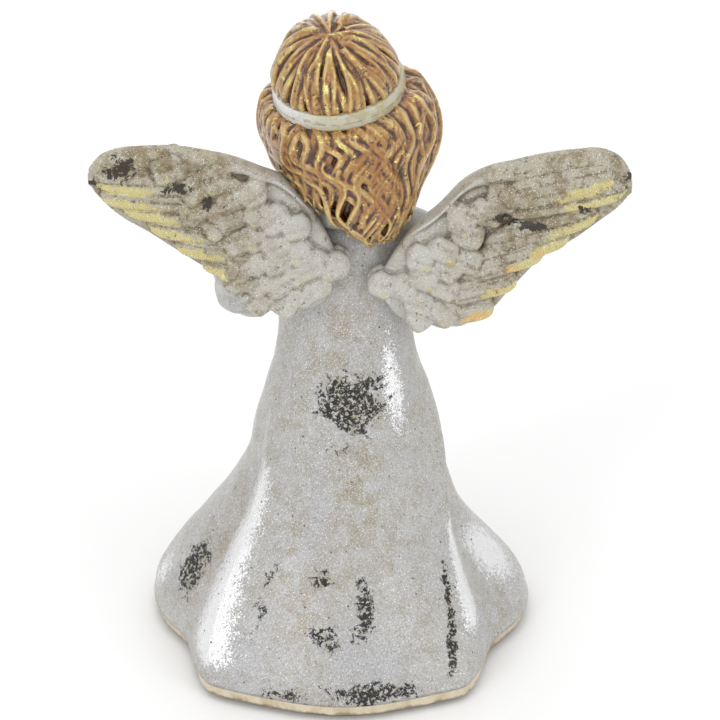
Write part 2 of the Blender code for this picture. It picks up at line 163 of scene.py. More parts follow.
def attribute(mesh, name, values):
    """Stores one number for each point, for the materials to read."""
    layer = mesh.attributes.new(name, "FLOAT", "POINT")
    layer.data.foreach_set("value", np.asarray(values, np.float32))


def mesh_from(bm):
    mesh = bpy.data.meshes.new("form")
    bm.to_mesh(mesh)
    bm.free()
    return mesh


def evaluated(obj):
    """The object's mesh with its modifiers applied. The object is then thrown away."""
    bpy.context.scene.collection.objects.link(obj)
    graph = bpy.context.evaluated_depsgraph_get()
    made = bpy.data.meshes.new_from_object(obj.evaluated_get(graph))
    bpy.data.objects.remove(obj)
    return made


def sheet(across, up, place):
    """A grid bent by place(u, v), both from 0 to 1, which gives the three coordinates."""
    bm = bmesh.new()
    bmesh.ops.create_grid(bm, x_segments=across, y_segments=up, size=0.5)
    mesh = mesh_from(bm)
    points = points_of(mesh)
    move_points(mesh, np.stack(place(points[:, 0] + 0.5, points[:, 1] + 0.5), -1))
    return mesh


def closed(mesh, weld=1e-3):
    """The same mesh with its seam welded, its ends filled and its faces turned outwards."""
    bm = bmesh.new()
    bm.from_mesh(mesh)
    bmesh.ops.remove_doubles(bm, verts=bm.verts, dist=weld)
    bmesh.ops.holes_fill(bm, edges=[e for e in bm.edges if e.is_boundary], sides=0)
    bmesh.ops.recalc_face_normals(bm, faces=bm.faces)
    return mesh_from(bm)


def ball(around, rings, place):
    """A sphere bent by place(share, turn): share is 0 to 1 from pole to pole, turn is in radians."""
    bm = bmesh.new()
    bmesh.ops.create_uvsphere(bm, u_segments=around, v_segments=rings, radius=1)
    mesh = mesh_from(bm)
    points = points_of(mesh)
    share = np.arccos(np.clip(points[:, 2], -1, 1)) / math.pi
    turn = np.arctan2(points[:, 1], points[:, 0])
    move_points(mesh, np.stack(place(share, turn), -1))
    return mesh


def tubes(paths, sides=2):
    """Round strands, one for each path of rows (x, y, z, radius)."""
    curve = bpy.data.curves.new("strands", "CURVE")
    curve.dimensions = "3D"
    curve.bevel_depth = 1
    curve.bevel_resolution = sides
    curve.use_fill_caps = True
    for path in paths:
        path = np.asarray(path, float)
        spline_ = curve.splines.new("POLY")
        spline_.points.add(len(path) - 1)
        flat = np.column_stack([path[:, :3], np.ones(len(path))]).ravel()
        spline_.points.foreach_set("co", flat)
        spline_.points.foreach_set("radius", path[:, 3])
    return evaluated(bpy.data.objects.new("strands", curve))


def fuse(meshes, voxel):
    """Joins overlapping forms into one skin, as a casting is."""
    bm = bmesh.new()
    for mesh in meshes:
        bm.from_mesh(mesh)
    obj = bpy.data.objects.new("cast", mesh_from(bm))
    modifier = obj.modifiers.new("fuse", "REMESH")
    modifier.mode = "VOXEL"
    modifier.voxel_size = voxel
    return evaluated(obj)


def relax(mesh, points, rounds, factor=0.5):
    """The points, each pulled towards the average of its neighbours a number of times."""
    ends = np.empty(len(mesh.edges) * 2, np.int64)
    mesh.edges.foreach_get("vertices", ends)
    a, b = ends.reshape(-1, 2).T
    count = np.bincount(a, minlength=len(points)) + np.bincount(b, minlength=len(points))
    points = points.copy()
    for _ in range(rounds):
        for axis in range(3):
            column = points[:, axis]
            total = np.bincount(a, column[b], len(points)) + np.bincount(b, column[a], len(points))
            points[:, axis] += factor * (total / np.maximum(count, 1) - column)
    return points


def soften(mesh, rounds):
    move_points(mesh, relax(mesh, points_of(mesh), rounds))


def mark_relief(mesh, rounds):
    """Attribute relief: mm above (ridge) or below (groove) the surface's own smoothed form."""
    points = points_of(mesh)
    away = points - relax(mesh, points, rounds)
    attribute(mesh, "relief", (away * normals_of(mesh)).sum(axis=1))


def swirl_noise(points, scale, seed=0.0):
    """Smooth noise from about -1 to 1 at each point."""
    return np.array([noise.noise(Vector(p) * scale + Vector((seed, 0, 0))) for p in points])


def add_piece(name, mesh, finish, node):
    """Adds a finished shape, in the place of a node of the frame."""
    mesh.transform(Matrix.Scale(MM, 4))
    mesh.materials.clear()
    mesh.materials.append(finish)
    mesh.shade_smooth()
    obj = bpy.data.objects.new(name, mesh)
    bpy.context.scene.collection.objects.link(obj)
    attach(obj, "root")
    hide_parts(node)
    return obj


# ---------------------------------------------------------------- robe and base


def fold_height(bearing, z):
    """How far the drapery stands out at each bearing (degrees) and height."""
    out = np.zeros_like(z)
    for centre, drift, spread, height, sharpness in ROBE_FOLDS:
        away = (bearing - centre - drift * (z - HEM) + 180) % 360 - 180
        out += height * bell(away, spread, sharpness)
    return out * (1 - smooth_step(0, FOLDS_END, z)) ** 0.8


def robe_place(bearing, z, grow=0.0):
    """Points of the robe's outside, as arrays x, y, z."""
    turn = np.radians(bearing)
    wide = np.where(bearing > 0, spline(ROBE_BODY, z, 1), spline(ROBE_BODY, z, 2))
    deep = np.where(np.abs(bearing) < 90, spline(ROBE_BODY, z, 3), spline(ROBE_BODY, z, 4))
    out = fold_height(bearing, z) + grow
    return (wide + out) * np.sin(turn), (deep + out) * np.cos(turn), z


# Worn leaf on the robe: bearing, height, half width in degrees, half height in mm, strength
ROBE_LEAF = [
    (-6, 54, 25, 5.0, 1.0),
    (4, 45, 8, 3.0, 0.35),
    (72, 14.5, 6, 4.5, 1.05),
    (31, 19, 3.5, 6.0, 0.45),
    (-9, 5.3, 13, 1.8, 1.1),
    (16, 4.2, 9, 1.2, 0.7),
]
ROBE_MARKS = ("leaf", "foil_and_highlight", "warm", "lilac")
RING = (2.0, 18.0, 5.8, 1.7, 0.95)  # a worn ring: bearing, height, radius, half width, strength
# Where the ring is thick: angle round it, spread, strength
RING_ARCS = [(-172, 34, 1.15), (-62, 26, 1.0), (58, 22, 0.85)]


def leaf_strength(bearing, z):
    """How worn the leaf is, 0 to about 1, in the named patches."""
    worn = np.zeros_like(z)
    for centre, height, half, tall, strength in ROBE_LEAF:
        away = np.hypot((bearing - centre) / half, (z - height) / tall)
        worn = np.maximum(worn, strength * (1 - smooth_step(0.1, 1.9, away)))
    right = bearing - RIGHT_RIDGE[0] - RIGHT_RIDGE[1] * (z - HEM) - 6.5
    beside_ridge = bell(right, 1.4) * smooth_step(3, 8, z) * (1 - smooth_step(18, 28, z))
    worn = np.maximum(worn, 0.95 * beside_ridge)
    centre, height, radius, half, strength = RING
    reach = spline(ROBE_BODY, z, 3)
    sideways = np.radians(bearing - centre) * reach
    round_ring = np.abs(np.hypot(sideways, (z - height) * 1.15) - radius) / half
    clock = np.degrees(np.arctan2(z - height, sideways))
    arcs = np.full_like(z, 0.15)
    for middle, spread, much in RING_ARCS:
        arcs = np.maximum(arcs, much * bell((clock - middle + 180) % 360 - 180, spread))
    worn = np.maximum(worn, strength * arcs * (1 - smooth_step(0.0, 2.2, round_ring)))
    return np.where(np.abs(bearing) < 120, worn, 0.55 * worn)


def foil_and_highlight_strength(bearing, z):
    """How much bright silver leaf shows, its near-white colour partly a painted highlight: along the two
    ridges, on the flares and beside the upper patch.
    """
    left = bearing - LEFT_RIDGE[0] - LEFT_RIDGE[1] * (z - HEM)
    right = bearing - RIGHT_RIDGE[0] - RIGHT_RIDGE[1] * (z - HEM)
    foil_and_highlight = bell(left - 1.0, 7.0) * smooth_step(3.5, 9, z) * (1 - smooth_step(32, 46, z))
    foil_and_highlight = np.maximum(foil_and_highlight, bell(right + 2.5, 4.0) * smooth_step(8, 13, z) * (1 - smooth_step(24, 31, z)))
    foil_and_highlight = np.maximum(foil_and_highlight, bell(bearing + 83, 9) * bell(z - 15, 4.5) * 0.95)
    foil_and_highlight = np.maximum(foil_and_highlight, bell(bearing - 86, 5) * bell(z - 10, 3.5) * 0.65)
    foil_and_highlight = np.maximum(foil_and_highlight, bell(bearing + 40, 8) * bell(z - 56, 7) * 0.85)
    foil_and_highlight = np.maximum(foil_and_highlight, bell(np.abs(bearing) - 140, 5) * bell(z - 20, 11) * 0.7)
    return foil_and_highlight


# Soft patches on the robe: bearing, height, half width in degrees, half height in mm. Of the warm ones, the
# tall one at bearing 24 is painted shade in the fold valley beside the left ridge; the rest are beige-brown
# tint.
WARM_TINTS_AND_SHADE = [
    (24, 24, 6, 13),
    (14, 19, 9, 5),
    (-8, 40, 12, 10),
    (60, 22, 10, 7),
    (2, 66, 16, 6),
    (-62, 6, 8, 4),
]
LILAC_STAINS = [(30, 9, 9, 7), (-8, 9, 14, 5), (16, 36, 8, 12), (-52, 12, 6, 8)]


def soft_patches(spots, bearing, z):
    out = np.zeros_like(z)
    for centre, height, half, tall in spots:
        out = np.maximum(out, bell(np.hypot((bearing - centre) / half, (z - height) / tall), 0.8))
    return out


def make_robe(finish):
    def place(u, v):
        z = HEM + (ROBE_BODY[-1][0] - HEM) * v
        return robe_place(360 * u - 180, z)

    mesh = closed(sheet(420, 170, place))
    points = points_of(mesh)
    normals = normals_of(mesh)
    worn = swirl_noise(points, 0.16) * 0.16 + swirl_noise(points, 0.55, 7) * 0.05
    move_points(mesh, points + normals * worn[:, None] * smooth_step(HEM, HEM + 3, points[:, 2])[:, None])
    points = points_of(mesh)
    deep = np.where(points[:, 1] > 0, spline(ROBE_BODY, points[:, 2], 3), spline(ROBE_BODY, points[:, 2], 4))
    wide = np.where(points[:, 0] > 0, spline(ROBE_BODY, points[:, 2], 1), spline(ROBE_BODY, points[:, 2], 2))
    bearing = np.degrees(np.arctan2(points[:, 0] / wide, points[:, 1] / deep))
    attribute(mesh, "leaf", leaf_strength(bearing, points[:, 2]))
    # Attribute foil: silver leaf, and a painted highlight along the ridges and on the flares
    attribute(mesh, "foil_and_highlight", foil_and_highlight_strength(bearing, points[:, 2]))
    # Attribute warm: beige-brown tint, and painted shade in the fold valley beside the left ridge
    attribute(mesh, "warm", soft_patches(WARM_TINTS_AND_SHADE, bearing, points[:, 2]))
    attribute(mesh, "lilac", soft_patches(LILAC_STAINS, bearing, points[:, 2]))
    mark_relief(mesh, 60)
    add_piece("robe_skin", mesh, finish, "robe")


def hem_slab(low, high, grow, columns=300, round_edge=0.35):
    """A flat plate with the outline of the robe's hem and eased edges."""

    def place(u, v):
        bearing = 360 * u - 180
        ease = round_edge * (1 - np.sqrt(1 - np.abs(2 * v - 1) ** 6))
        z = low + (high - low) * v
        drawn_in = 0.5 * smooth_step(38, 55, np.abs(bearing))
        x, y, _ = robe_place(bearing, np.full_like(bearing, HEM), grow - drawn_in)
        length = np.hypot(x, y)
        return x * (1 - ease / length), y * (1 - ease / length), z

    return closed(sheet(columns, 14, place))


def make_base(plate_finish, felt_finish):
    plate = hem_slab(PLATE_BOTTOM, PLATE_TOP, 0.05)
    points = points_of(plate)
    upright = points * [1, 1, 0.3]
    chip = swirl_noise(upright, 0.35, 3) * 0.16 + swirl_noise(upright, 1.3, 5) * 0.07
    move_points(plate, points + normals_of(plate) * [1, 1, 0] * chip[:, None])
    mark_relief(plate, 20)
    add_piece("base_rim", plate, plate_finish, "base_plate")
    felt = hem_slab(0.0, FELT_TOP, -1.6, round_edge=0.25)
    add_piece("felt_under", felt, felt_finish, "felt_pad")


# ---------------------------------------------------------------- wings


# Distance out from the anchor, height of the lower and the upper edge, half thickness
LEFT_WING = {
    "side": 1,
    "anchor": Vector((0.2, 9.5, 78.3)),
    "rows": [
        (0.6, -2.6, 6.0, 1.6),
        (3.0, -6.0, 10.0, 2.3),
        (6.0, -7.3, 14.5, 2.6),
        (10.0, -6.8, 19.2, 2.6),
        (15.0, -4.2, 21.8, 2.6),
        (20.0, -1.0, 24.2, 2.5),
        (25.0, 2.4, 25.8, 2.4),
        (30.0, 6.4, 26.9, 2.3),
        (35.0, 10.6, 27.3, 2.1),
        (39.0, 13.6, 27.4, 1.9),
        (42.6, 17.4, 26.2, 1.5),
        (45.2, 20.6, 23.2, 0.8),
    ],
    "scales_end": (19.0, 0.50),  # how far out the small scales reach at height 0, and how this grows upwards
    # Each long feather's tip, and its angle in degrees
    "tips": [(21.0, 10), (25.5, 12), (30.0, 13), (34.6, 14), (39.2, 12), (43.6, 6)],
}
RIGHT_WING = {
    "side": -1,
    "anchor": Vector((-6.0, 9.5, 74.6)),
    "rows": [
        (0.6, -2.0, 6.0, 1.6),
        (3.0, -4.8, 9.0, 2.3),
        (6.5, -6.2, 13.5, 2.6),
        (11.0, -6.4, 17.6, 2.7),
        (15.5, -5.6, 22.8, 2.7),
        (20.0, -4.0, 25.8, 2.6),
        (25.0, 2.4, 27.6, 2.4),
        (30.0, 8.6, 29.2, 2.3),
        (35.0, 12.4, 30.4, 2.1),
        (39.7, 16.8, 31.0, 1.9),
        (43.2, 20.0, 29.2, 1.5),
        (45.5, 22.8, 25.2, 0.8),
    ],
    "scales_end": (14.0, 0.42),
    "tips": [(21.5, 14), (25.5, 18), (30.0, 20), (34.5, 22), (39.2, 22), (44.0, 16)],
}
WING_SWEEP = 7.0  # how far the tip stands back from the root
# Long feathers and scales: thickness, and how far each leans and rolls, in degrees
LONG_THICK, LONG_LIFT, LONG_ROLL = 0.85, 1.0, 15
SCALE_THICK, SCALE_LIFT, SCALE_ROLL = 0.95, 10, 8


def wing_core(rows):
    """The plain thickness of a wing, its anchor at the origin and its tip at +X."""
    start, end = rows[0][0], rows[-1][0]

    def place(share, turn):
        at = start + (end - start) * share
        low, high, half = (spline(rows, at, column) for column in (1, 2, 3))
        low, high = low + 0.5, high - 0.1
        full = np.sqrt(np.maximum(0, 1 - np.abs(2 * share - 1) ** 14))
        across = np.sign(np.cos(turn)) * np.abs(np.cos(turn)) ** 0.6
        thick = np.sign(np.sin(turn)) * np.abs(np.sin(turn)) ** 0.6
        y = (half - 0.95) * full * thick + WING_SWEEP * (at / end) ** 2
        return at, y, (low + high) / 2 + (high - low) / 2 * full * across

    return ball(72, 60, place)


def feather_taper(share, least):
    """Width of a feather along it, as a share of its full width."""
    return np.minimum(1, 0.55 + 1.8 * share) * np.sqrt(np.maximum(least, 1 - np.abs(2 * share - 1) ** 5))


def feather(length, width, thickness, grooves):
    """A feather along +X from its root at the origin: flat, blunt-ended, and grooved along its +Y face."""

    def place(share, turn):
        taper = feather_taper(share, 0)
        across = np.sign(np.cos(turn)) * np.abs(np.cos(turn)) ** 0.7
        thick = np.sign(np.sin(turn)) * np.abs(np.sin(turn)) ** 0.7
        lines = 0.10 * np.cos(across * grooves * math.pi) * (np.sin(turn) > 0) * taper
        bow = 0.35 * (1 - across**2) * (np.sin(turn) > 0) * taper
        return length * share, thickness * taper * thick + lines + bow, width / 2 * taper * across

    return ball(64, 22, place)


def lay_feather(made, wing, root, angle, lift, tilt, facing):
    """Turns a feather on to one face of the wing: facing is +1 for the back, -1 for the front."""
    rows = wing["rows"]
    u, w = root
    half = float(spline(rows, u, 3))
    surface = WING_SWEEP * (u / rows[-1][0]) ** 2 + facing * (half - 0.55)
    slope = 2 * WING_SWEEP * u / rows[-1][0] ** 2
    turn = Matrix.Rotation(-math.radians(angle), 4, "Y")
    lean = Matrix.Rotation(math.radians(lift) * facing + math.atan(slope), 4, "Z")
    roll = Matrix.Rotation(math.radians(tilt) * facing, 4, "X")
    flip = Matrix.Diagonal((1, facing, 1, 1))
    made.transform(Matrix.Translation((u, surface, w)) @ turn @ lean @ roll @ flip)
    return made


def long_feathers(wing):
    """(root, angle, length, width) of the long feathers, the lowest first. Each ends at the lower edge."""
    rows = wing["rows"]
    laid = []
    for place, (u, angle) in enumerate(wing["tips"]):
        w = float(spline(rows, u, 1)) + 2.0 + 0.35 * place
        length = 13 + 2.2 * place
        way = math.radians(angle)
        laid.append(((u - length * math.cos(way), w - length * math.sin(way)), angle, length, 5.4))
    top = float(spline(rows, 38, 2))
    laid.append(((20.0, top - 11.0), wing["tips"][-1][1] + 2, 23.0, 5.6))
    return laid


def scales(wing):
    """(root, angle, length, width) of the small rounded scales, the outermost and lowest first."""
    rows = wing["rows"]
    reach, lean = wing["scales_end"]
    laid = []
    for column in range(10):
        for row in range(8):
            u = -1.5 + 3.6 * column + RANDOM.uniform(-0.6, 0.6)
            edge = max(u, rows[0][0])
            below_edge = 2.4 + 4.0 * row + 2.0 * (column % 2)
            w = float(spline(rows, edge, 2)) - below_edge + RANDOM.uniform(-0.6, 0.6)
            if w < float(spline(rows, edge, 1)) + 4.2 or u > reach + lean * w - 3.5:
                continue
            angle = -20 - 5 * row + RANDOM.uniform(-14, 14)
            laid.append(((u, w), angle, 5.8 + RANDOM.uniform(-0.6, 0.9), 5.5 + RANDOM.uniform(-0.6, 0.7)))
    laid.sort(key=lambda one: one[0][1] - one[0][0] * 0.8)
    return laid


def top_feather(wing, flat, laid, pitch, roll, thickness):
    """For each point (u, w), on the highest feather there: its share along, across and towards the rim."""
    rows = wing["rows"]
    best = np.full(len(flat), -99.0)
    found = np.zeros((4, len(flat)))
    for number, ((u, w), angle, length, width) in enumerate(laid):
        way = math.radians(angle)
        along = (flat[:, 0] - u) * math.cos(way) + (flat[:, 1] - w) * math.sin(way)
        across = -(flat[:, 0] - u) * math.sin(way) + (flat[:, 1] - w) * math.cos(way)
        share, aside = along / length, across / (width / 2)
        taper = feather_taper(share, 0.0001)
        rim = np.abs(aside) / taper
        inside = (rim < 1) & (share > 0) & (share < 1)
        height = float(spline(rows, u, 3)) + along * math.sin(pitch) - across * math.sin(roll)
        height = height + thickness * np.sqrt(np.maximum(0, 1 - rim**2)) ** 0.7
        higher = inside & (height > best)
        best[higher] = height[higher]
        found[:, higher] = np.stack([share, aside, rim, np.full_like(rim, number + 1)])[:, higher]
    return best, found


# Worn dark leaf on the wings' backs: distance out, height, half width, half height
WING_LEAF = {
    1: [(38.6, 24.2, 2.6, 2.6), (29.0, 20.0, 2.6, 1.2), (23.8, 16.8, 1.3, 1.6), (43.4, 21.4, 1.2, 0.8)],
    -1: [(27.4, 16.2, 3.4, 0.9), (22.5, 17.8, 2.2, 0.9), (36.5, 20.2, 1.3, 1.0), (44.0, 27.0, 1.0, 1.5)],
}


def make_wing(name, wing, finish):
    rows, side = wing["rows"], wing["side"]
    long_laid, scale_laid = long_feathers(wing), scales(wing)
    forms = [wing_core(rows)]
    for facing in (1, -1):
        for place, (root, angle, length, width) in enumerate(long_laid):
            made = feather(length, width, LONG_THICK, 5)
            lift = LONG_LIFT + 0.15 * place
            forms.append(lay_feather(made, wing, root, angle, lift, LONG_ROLL, facing))
        for root, angle, length, width in scale_laid:
            made = feather(length, width, SCALE_THICK, 3)
            forms.append(lay_feather(made, wing, root, angle, SCALE_LIFT, SCALE_ROLL, facing))
    forms.append(leading_edge(wing))
    mesh = fuse(forms, 0.26)
    soften(mesh, 2)
    points = points_of(mesh)
    flat = points[:, [0, 2]]
    lean, roll = math.radians(2), math.radians(LONG_ROLL)
    tall_long, long_marks = top_feather(wing, flat, long_laid, lean, roll, LONG_THICK)
    lean, roll = math.radians(SCALE_LIFT), math.radians(SCALE_ROLL)
    tall_scale, scale_marks = top_feather(wing, flat, scale_laid, lean, roll, SCALE_THICK)
    on_scale = tall_scale > np.maximum(tall_long, -90)
    share, aside, rim, number = np.where(on_scale, scale_marks, long_marks)
    gilt = smooth_step(0.25, 0.75, share) * smooth_step(0.25, -0.55, aside) * (number > 0)
    gilt *= np.where(on_scale, 0.5, 1.0)
    barb = np.cos(aside * np.where(on_scale, 5.5, 9.5) + 0.8 * number) * (number > 0)
    rim_line = smooth_step(0.80, 0.98, np.maximum(rim, smooth_step(0.9, 1.0, share))) * (number > 0)
    worn = np.zeros(len(points))
    for u, w, half, tall in WING_LEAF[side]:
        away = np.hypot((flat[:, 0] - u) / half, (flat[:, 1] - w) / tall)
        worn = np.maximum(worn, 1 - smooth_step(0.0, 2.1, away))
    worn *= points[:, 1] > WING_SWEEP * (points[:, 0] / rows[-1][0]) ** 2
    outer = smooth_step(8, 26, points[:, 0])
    mesh.transform(Matrix.Translation(wing["anchor"]) @ Matrix.Diagonal((side, 1, 1, 1)))
    if side < 0:
        mesh.flip_normals()
    attribute(mesh, "gilt", gilt)
    attribute(mesh, "barb", barb)
    attribute(mesh, "rim", rim_line)
    attribute(mesh, "leaf", worn)
    attribute(mesh, "outer", outer)
    mark_relief(mesh, 14)
    add_piece(name + "_feathers", mesh, finish, name)


def leading_edge(wing):
    """The thick smooth roll along the wing's front edge, with a few long grooves."""
    rows = wing["rows"]
    start, end = 5.0, rows[-1][0] - 0.8

    def place(share, turn):
        at = start + (end - start) * share
        high, half = spline(rows, at, 2), spline(rows, at, 3)
        full = np.sqrt(np.maximum(0, 1 - np.abs(2 * share - 1) ** 10))
        deep = (0.9 + 2.2 * smooth_step(0.25, 0.6, share)) * full
        thick = (half - 0.25) * full
        rim = 1 + 0.05 * np.cos(11 * turn + 3 * share)
        y = thick * np.sin(turn) * rim + WING_SWEEP * (at / end) ** 2
        return at, y, high - deep + deep * np.cos(turn) * rim

    return ball(80, 90, place)


# ---------------------------------------------------------------- collar, sleeves and hands


def limb(stations, around=64, rings=60, power=4):
    """A rounded body along stations of ((x, y, z), half width, half thickness)."""
    rows = [(i, *point, wide, thick) for i, (point, wide, thick) in enumerate(stations)]
    last = len(stations) - 1

    def centre(at):
        return np.stack([spline(rows, at, column) for column in (1, 2, 3)], -1)

    def place(share, turn):
        at = share * last
        along = centre(np.minimum(at + 0.02, last)) - centre(np.maximum(at - 0.02, 0))
        along /= np.linalg.norm(along, axis=1, keepdims=True)
        side = np.cross(along, (0, 1, 0))
        side /= np.linalg.norm(side, axis=1, keepdims=True)
        depth = np.cross(side, along)
        full = np.sqrt(np.maximum(0, 1 - np.abs(2 * share - 1) ** power))
        wide = (spline(rows, at, 4) * full * np.cos(turn))[:, None]
        thick = (spline(rows, at, 5) * full * np.sin(turn))[:, None]
        return (centre(at) + side * wide + depth * thick).T

    return ball(around, rings, place)


def make_collar(finish):
    """A soft roll round the neck with shallow gathers."""

    def place(u, v):
        turn, section = math.tau * u, math.tau * v
        gather = 1 + 0.06 * np.sin(17 * turn + 1.5 * np.sin(3 * turn)) * np.clip(np.sin(section) + 0.4, 0, 1)
        out = 7.4 + 2.4 * gather * np.cos(section)
        z = 1.9 * gather * np.sin(section)
        lean = math.radians(8)
        x, y = out * np.cos(turn), out * np.sin(turn)
        back = y * math.cos(lean) - z * math.sin(lean)
        high = y * math.sin(lean) + z * math.cos(lean)
        return x - 0.3, back - 0.6, high + 87.2

    mesh = closed(sheet(220, 40, place))
    for name in ROBE_MARKS:
        attribute(mesh, name, np.zeros(len(mesh.vertices)))
    mark_relief(mesh, 12)
    add_piece("collar_roll", mesh, finish, "collar")


LEFT_ARM = {
    "upper": [
        ((9.5, -2.5, 89.5), 5.0, 5.0),
        ((14.5, -2.5, 81), 7.4, 7.2),
        ((17.5, -2.0, 72), 7.2, 7.4),
        ((18.0, -2.5, 64.5), 5.6, 5.8),
    ],
    "forearm": [
        ((20.5, -1.5, 68.0), 4.4, 4.6),
        ((14.0, -7.0, 70.5), 6.6, 5.8),
        ((6.6, -10.9, 75.6), 5.4, 4.4),
    ],
    "cuff": (Vector((5.6, -11.3, 76.4)), Vector((-0.80, -0.36, 0.48)), 4.0),
}
RIGHT_ARM = {
    "upper": [
        ((-8.5, -1.0, 86), 5.0, 5.0),
        ((-14.5, -1.0, 78), 7.0, 7.2),
        ((-18.8, -1.0, 71), 7.4, 7.4),
        ((-21.0, -2.0, 62.6), 6.0, 5.8),
    ],
    "forearm": [
        ((-23.0, -1.0, 65.5), 4.6, 4.6),
        ((-15.0, -7.0, 69.5), 6.6, 5.8),
        ((-6.6, -10.9, 75.2), 5.4, 4.4),
    ],
    "cuff": (Vector((-5.6, -11.3, 76.0)), Vector((0.80, -0.36, 0.48)), 4.0),
}


def cuff_rim(centre, way, radius):
    """The rolled edge of a sleeve's opening: a ring round the wrist."""
    turn = way.normalized().to_track_quat("Z", "Y").to_matrix().to_4x4()

    def place(u, v):
        angle, section = math.tau * u, math.tau * v
        out = radius * (1 + 0.05 * np.sin(5 * angle)) + 0.75 * np.cos(section)
        return out * np.cos(angle), out * np.sin(angle), 0.75 * np.sin(section) + 0.25 * np.sin(4 * angle)

    ring = closed(sheet(90, 16, place))
    ring.transform(Matrix.Translation(centre) @ turn)
    return ring


def make_sleeve(name, arm, finish):
    mesh = fuse([limb(arm["upper"]), limb(arm["forearm"]), cuff_rim(*arm["cuff"])], 0.34)
    soften(mesh, 5)
    points = points_of(mesh)
    elbow = np.array(arm["upper"][3][0])
    near = bell(np.linalg.norm(points - elbow, axis=1), 11)
    along = points @ np.array([0.25, 0.35, 0.9])
    crease = np.sin(along * 1.15 + 2.2 * swirl_noise(points, 0.14, 4)) * np.clip(0.35 + near, 0, 1)
    gather = swirl_noise(points * [1, 1, 0.45], 0.30, 9)
    move_points(mesh, points + normals_of(mesh) * (0.42 * crease + 0.30 * gather)[:, None])
    for one in ROBE_MARKS:
        attribute(mesh, one, np.zeros(len(mesh.vertices)))
    mark_relief(mesh, 20)
    add_piece(name + "_cloth", mesh, finish, name)


PALM_PLANE = 0.3
PALM = [
    ((9.0, -8.8, 73.0), 1.9, 2.1),
    ((5.4, -10.9, 75.2), 2.2, 2.4),
    ((3.2, -12.4, 78.2), 1.9, 2.7),
    ((2.1, -13.6, 81.2), 1.5, 3.1),
    ((1.7, -14.1, 83.6), 1.1, 2.7),
]
# Shift across the hand, length and radius of each finger, the little finger first
FINGERS = [(-2.2, 6.0, 0.72), (-0.8, 7.4, 0.80), (0.65, 8.0, 0.82), (2.0, 7.0, 0.78)]
THUMB = [
    (2.4, -11.2, 78.6, 1.0),
    (2.0, -10.9, 80.6, 1.0),
    (1.5, -11.0, 82.6, 0.92),
    (1.2, -11.4, 84.4, 0.84),
    (1.1, -11.7, 85.4, 0.7),
]


def make_hand(name, side, finish):
    """One of two hands laid palm to palm, fingers pointing up."""
    base, up, across = np.array([1.5, -13.9, 82.2]), np.array([-0.07, -0.17, 0.98]), np.array([0, 0.98, 0.17])
    paths = []
    for shift, length, radius in FINGERS:
        share = np.linspace(0, 1, 9)
        path = base + across * (shift * (1 - 0.18 * share))[:, None] + up * (length * share)[:, None]
        paths.append(np.column_stack([path, radius * (1 - 0.28 * share**2.5)]))
    paths.append(np.array(THUMB))
    mesh = fuse([limb(PALM, 40, 40), tubes(paths, 5)] + [bead(path[-1]) for path in paths], 0.17)
    soften(mesh, 3)
    mesh.transform(Matrix.Translation((PALM_PLANE, 0, 0)) @ Matrix.Diagonal((side, 1, 1, 1)))
    if side < 0:
        mesh.flip_normals()
    for one in ("lips", "lashes", "brows", "blush"):
        attribute(mesh, one, np.zeros(len(mesh.vertices)))
    mark_relief(mesh, 25)
    add_piece(name + "_fingers", mesh, finish, name)


def bead(row):
    """A round end for a finger or a strand whose last row is (x, y, z, radius)."""
    bm = bmesh.new()
    bmesh.ops.create_uvsphere(bm, u_segments=16, v_segments=10, radius=row[3])
    bmesh.ops.translate(bm, verts=bm.verts, vec=row[:3])
    return mesh_from(bm)


# ---------------------------------------------------------------- head


EYE_ASIDE = 3.75
MOUTH_LEVEL = -8.07


def face_relief(x, z):
    """How far the features stand out of the plain front of the head, x and z from the head's middle."""
    aside = np.abs(x)
    out = -1.15 * bell(aside - 3.8, 2.0) * bell(z - 0.1, 1.35)
    out += 1.05 * bell(aside - EYE_ASIDE, 1.55) * bell(z + 0.95, 0.95)
    out += 0.45 * bell(aside - 3.4, 2.6) * bell(z - 2.3, 0.9)
    out -= 0.22 * lash_line(x, z)
    lid = aside - EYE_ASIDE
    out -= 0.12 * bell(z - 0.25 - 0.10 * (2.2 - lid**2), 0.16) * (1 - smooth_step(1.5, 2.2, np.abs(lid)))
    bridge = smooth_step(2.6, -4.4, z) * (1 - smooth_step(-4.6, -5.7, z))
    nose = (1 - smooth_step(1.0, 3.6, z)) * (1 - smooth_step(-4.7, -5.9, z))
    out += (0.35 + 1.6 * bridge) * bell(x, 0.75 + 0.40 * bridge) * nose
    out += 0.75 * bell(x, 1.0) * bell(z + 4.45, 0.75)
    out += 0.75 * bell(aside - 1.25, 0.55) * bell(z + 4.9, 0.5)
    out -= 0.18 * bell(x, 0.35) * bell(z + 6.5, 0.5)
    out += 0.40 * bell(x, 2.9) * bell(z + 8.0, 1.7)
    bow = -7.45 + 0.16 * np.cos(np.clip(x, -1.6, 1.6) * 3.6) * -1 + 0.05 * aside
    out += 0.55 * bell(z - bow, 0.36) * (1 - smooth_step(1.2, 2.5, aside))
    out += 0.72 * bell(z + 8.75 - 0.05 * x**2, 0.45) * (1 - smooth_step(0.8, 2.2, aside))
    out -= 0.45 * mouth_line(x, z)
    out -= 0.35 * bell(x, 1.7) * bell(z + 10.0, 0.55)
    out += 0.95 * bell(x, 2.3) * bell(z + 11.6, 1.5)
    out += 0.75 * bell(aside - 5.0, 2.3) * bell(z + 4.6, 2.6)
    return out


def lash_line(x, z):
    aside = np.abs(x) - EYE_ASIDE
    return bell(z + 1.72 - 0.17 * aside**2, 0.15) * (1 - smooth_step(1.55, 2.05, np.abs(aside)))


def mouth_line(x, z):
    return bell(z - MOUTH_LEVEL - 0.045 * x**2, 0.15) * (1 - smooth_step(2.1, 2.7, np.abs(x)))


NECK = [
    ((-0.3, -0.4, 101), 4.6, 5.0),
    ((-0.3, -0.1, 94), 4.1, 4.4),
    ((-0.3, 0, 86.6), 5.6, 5.2),
]


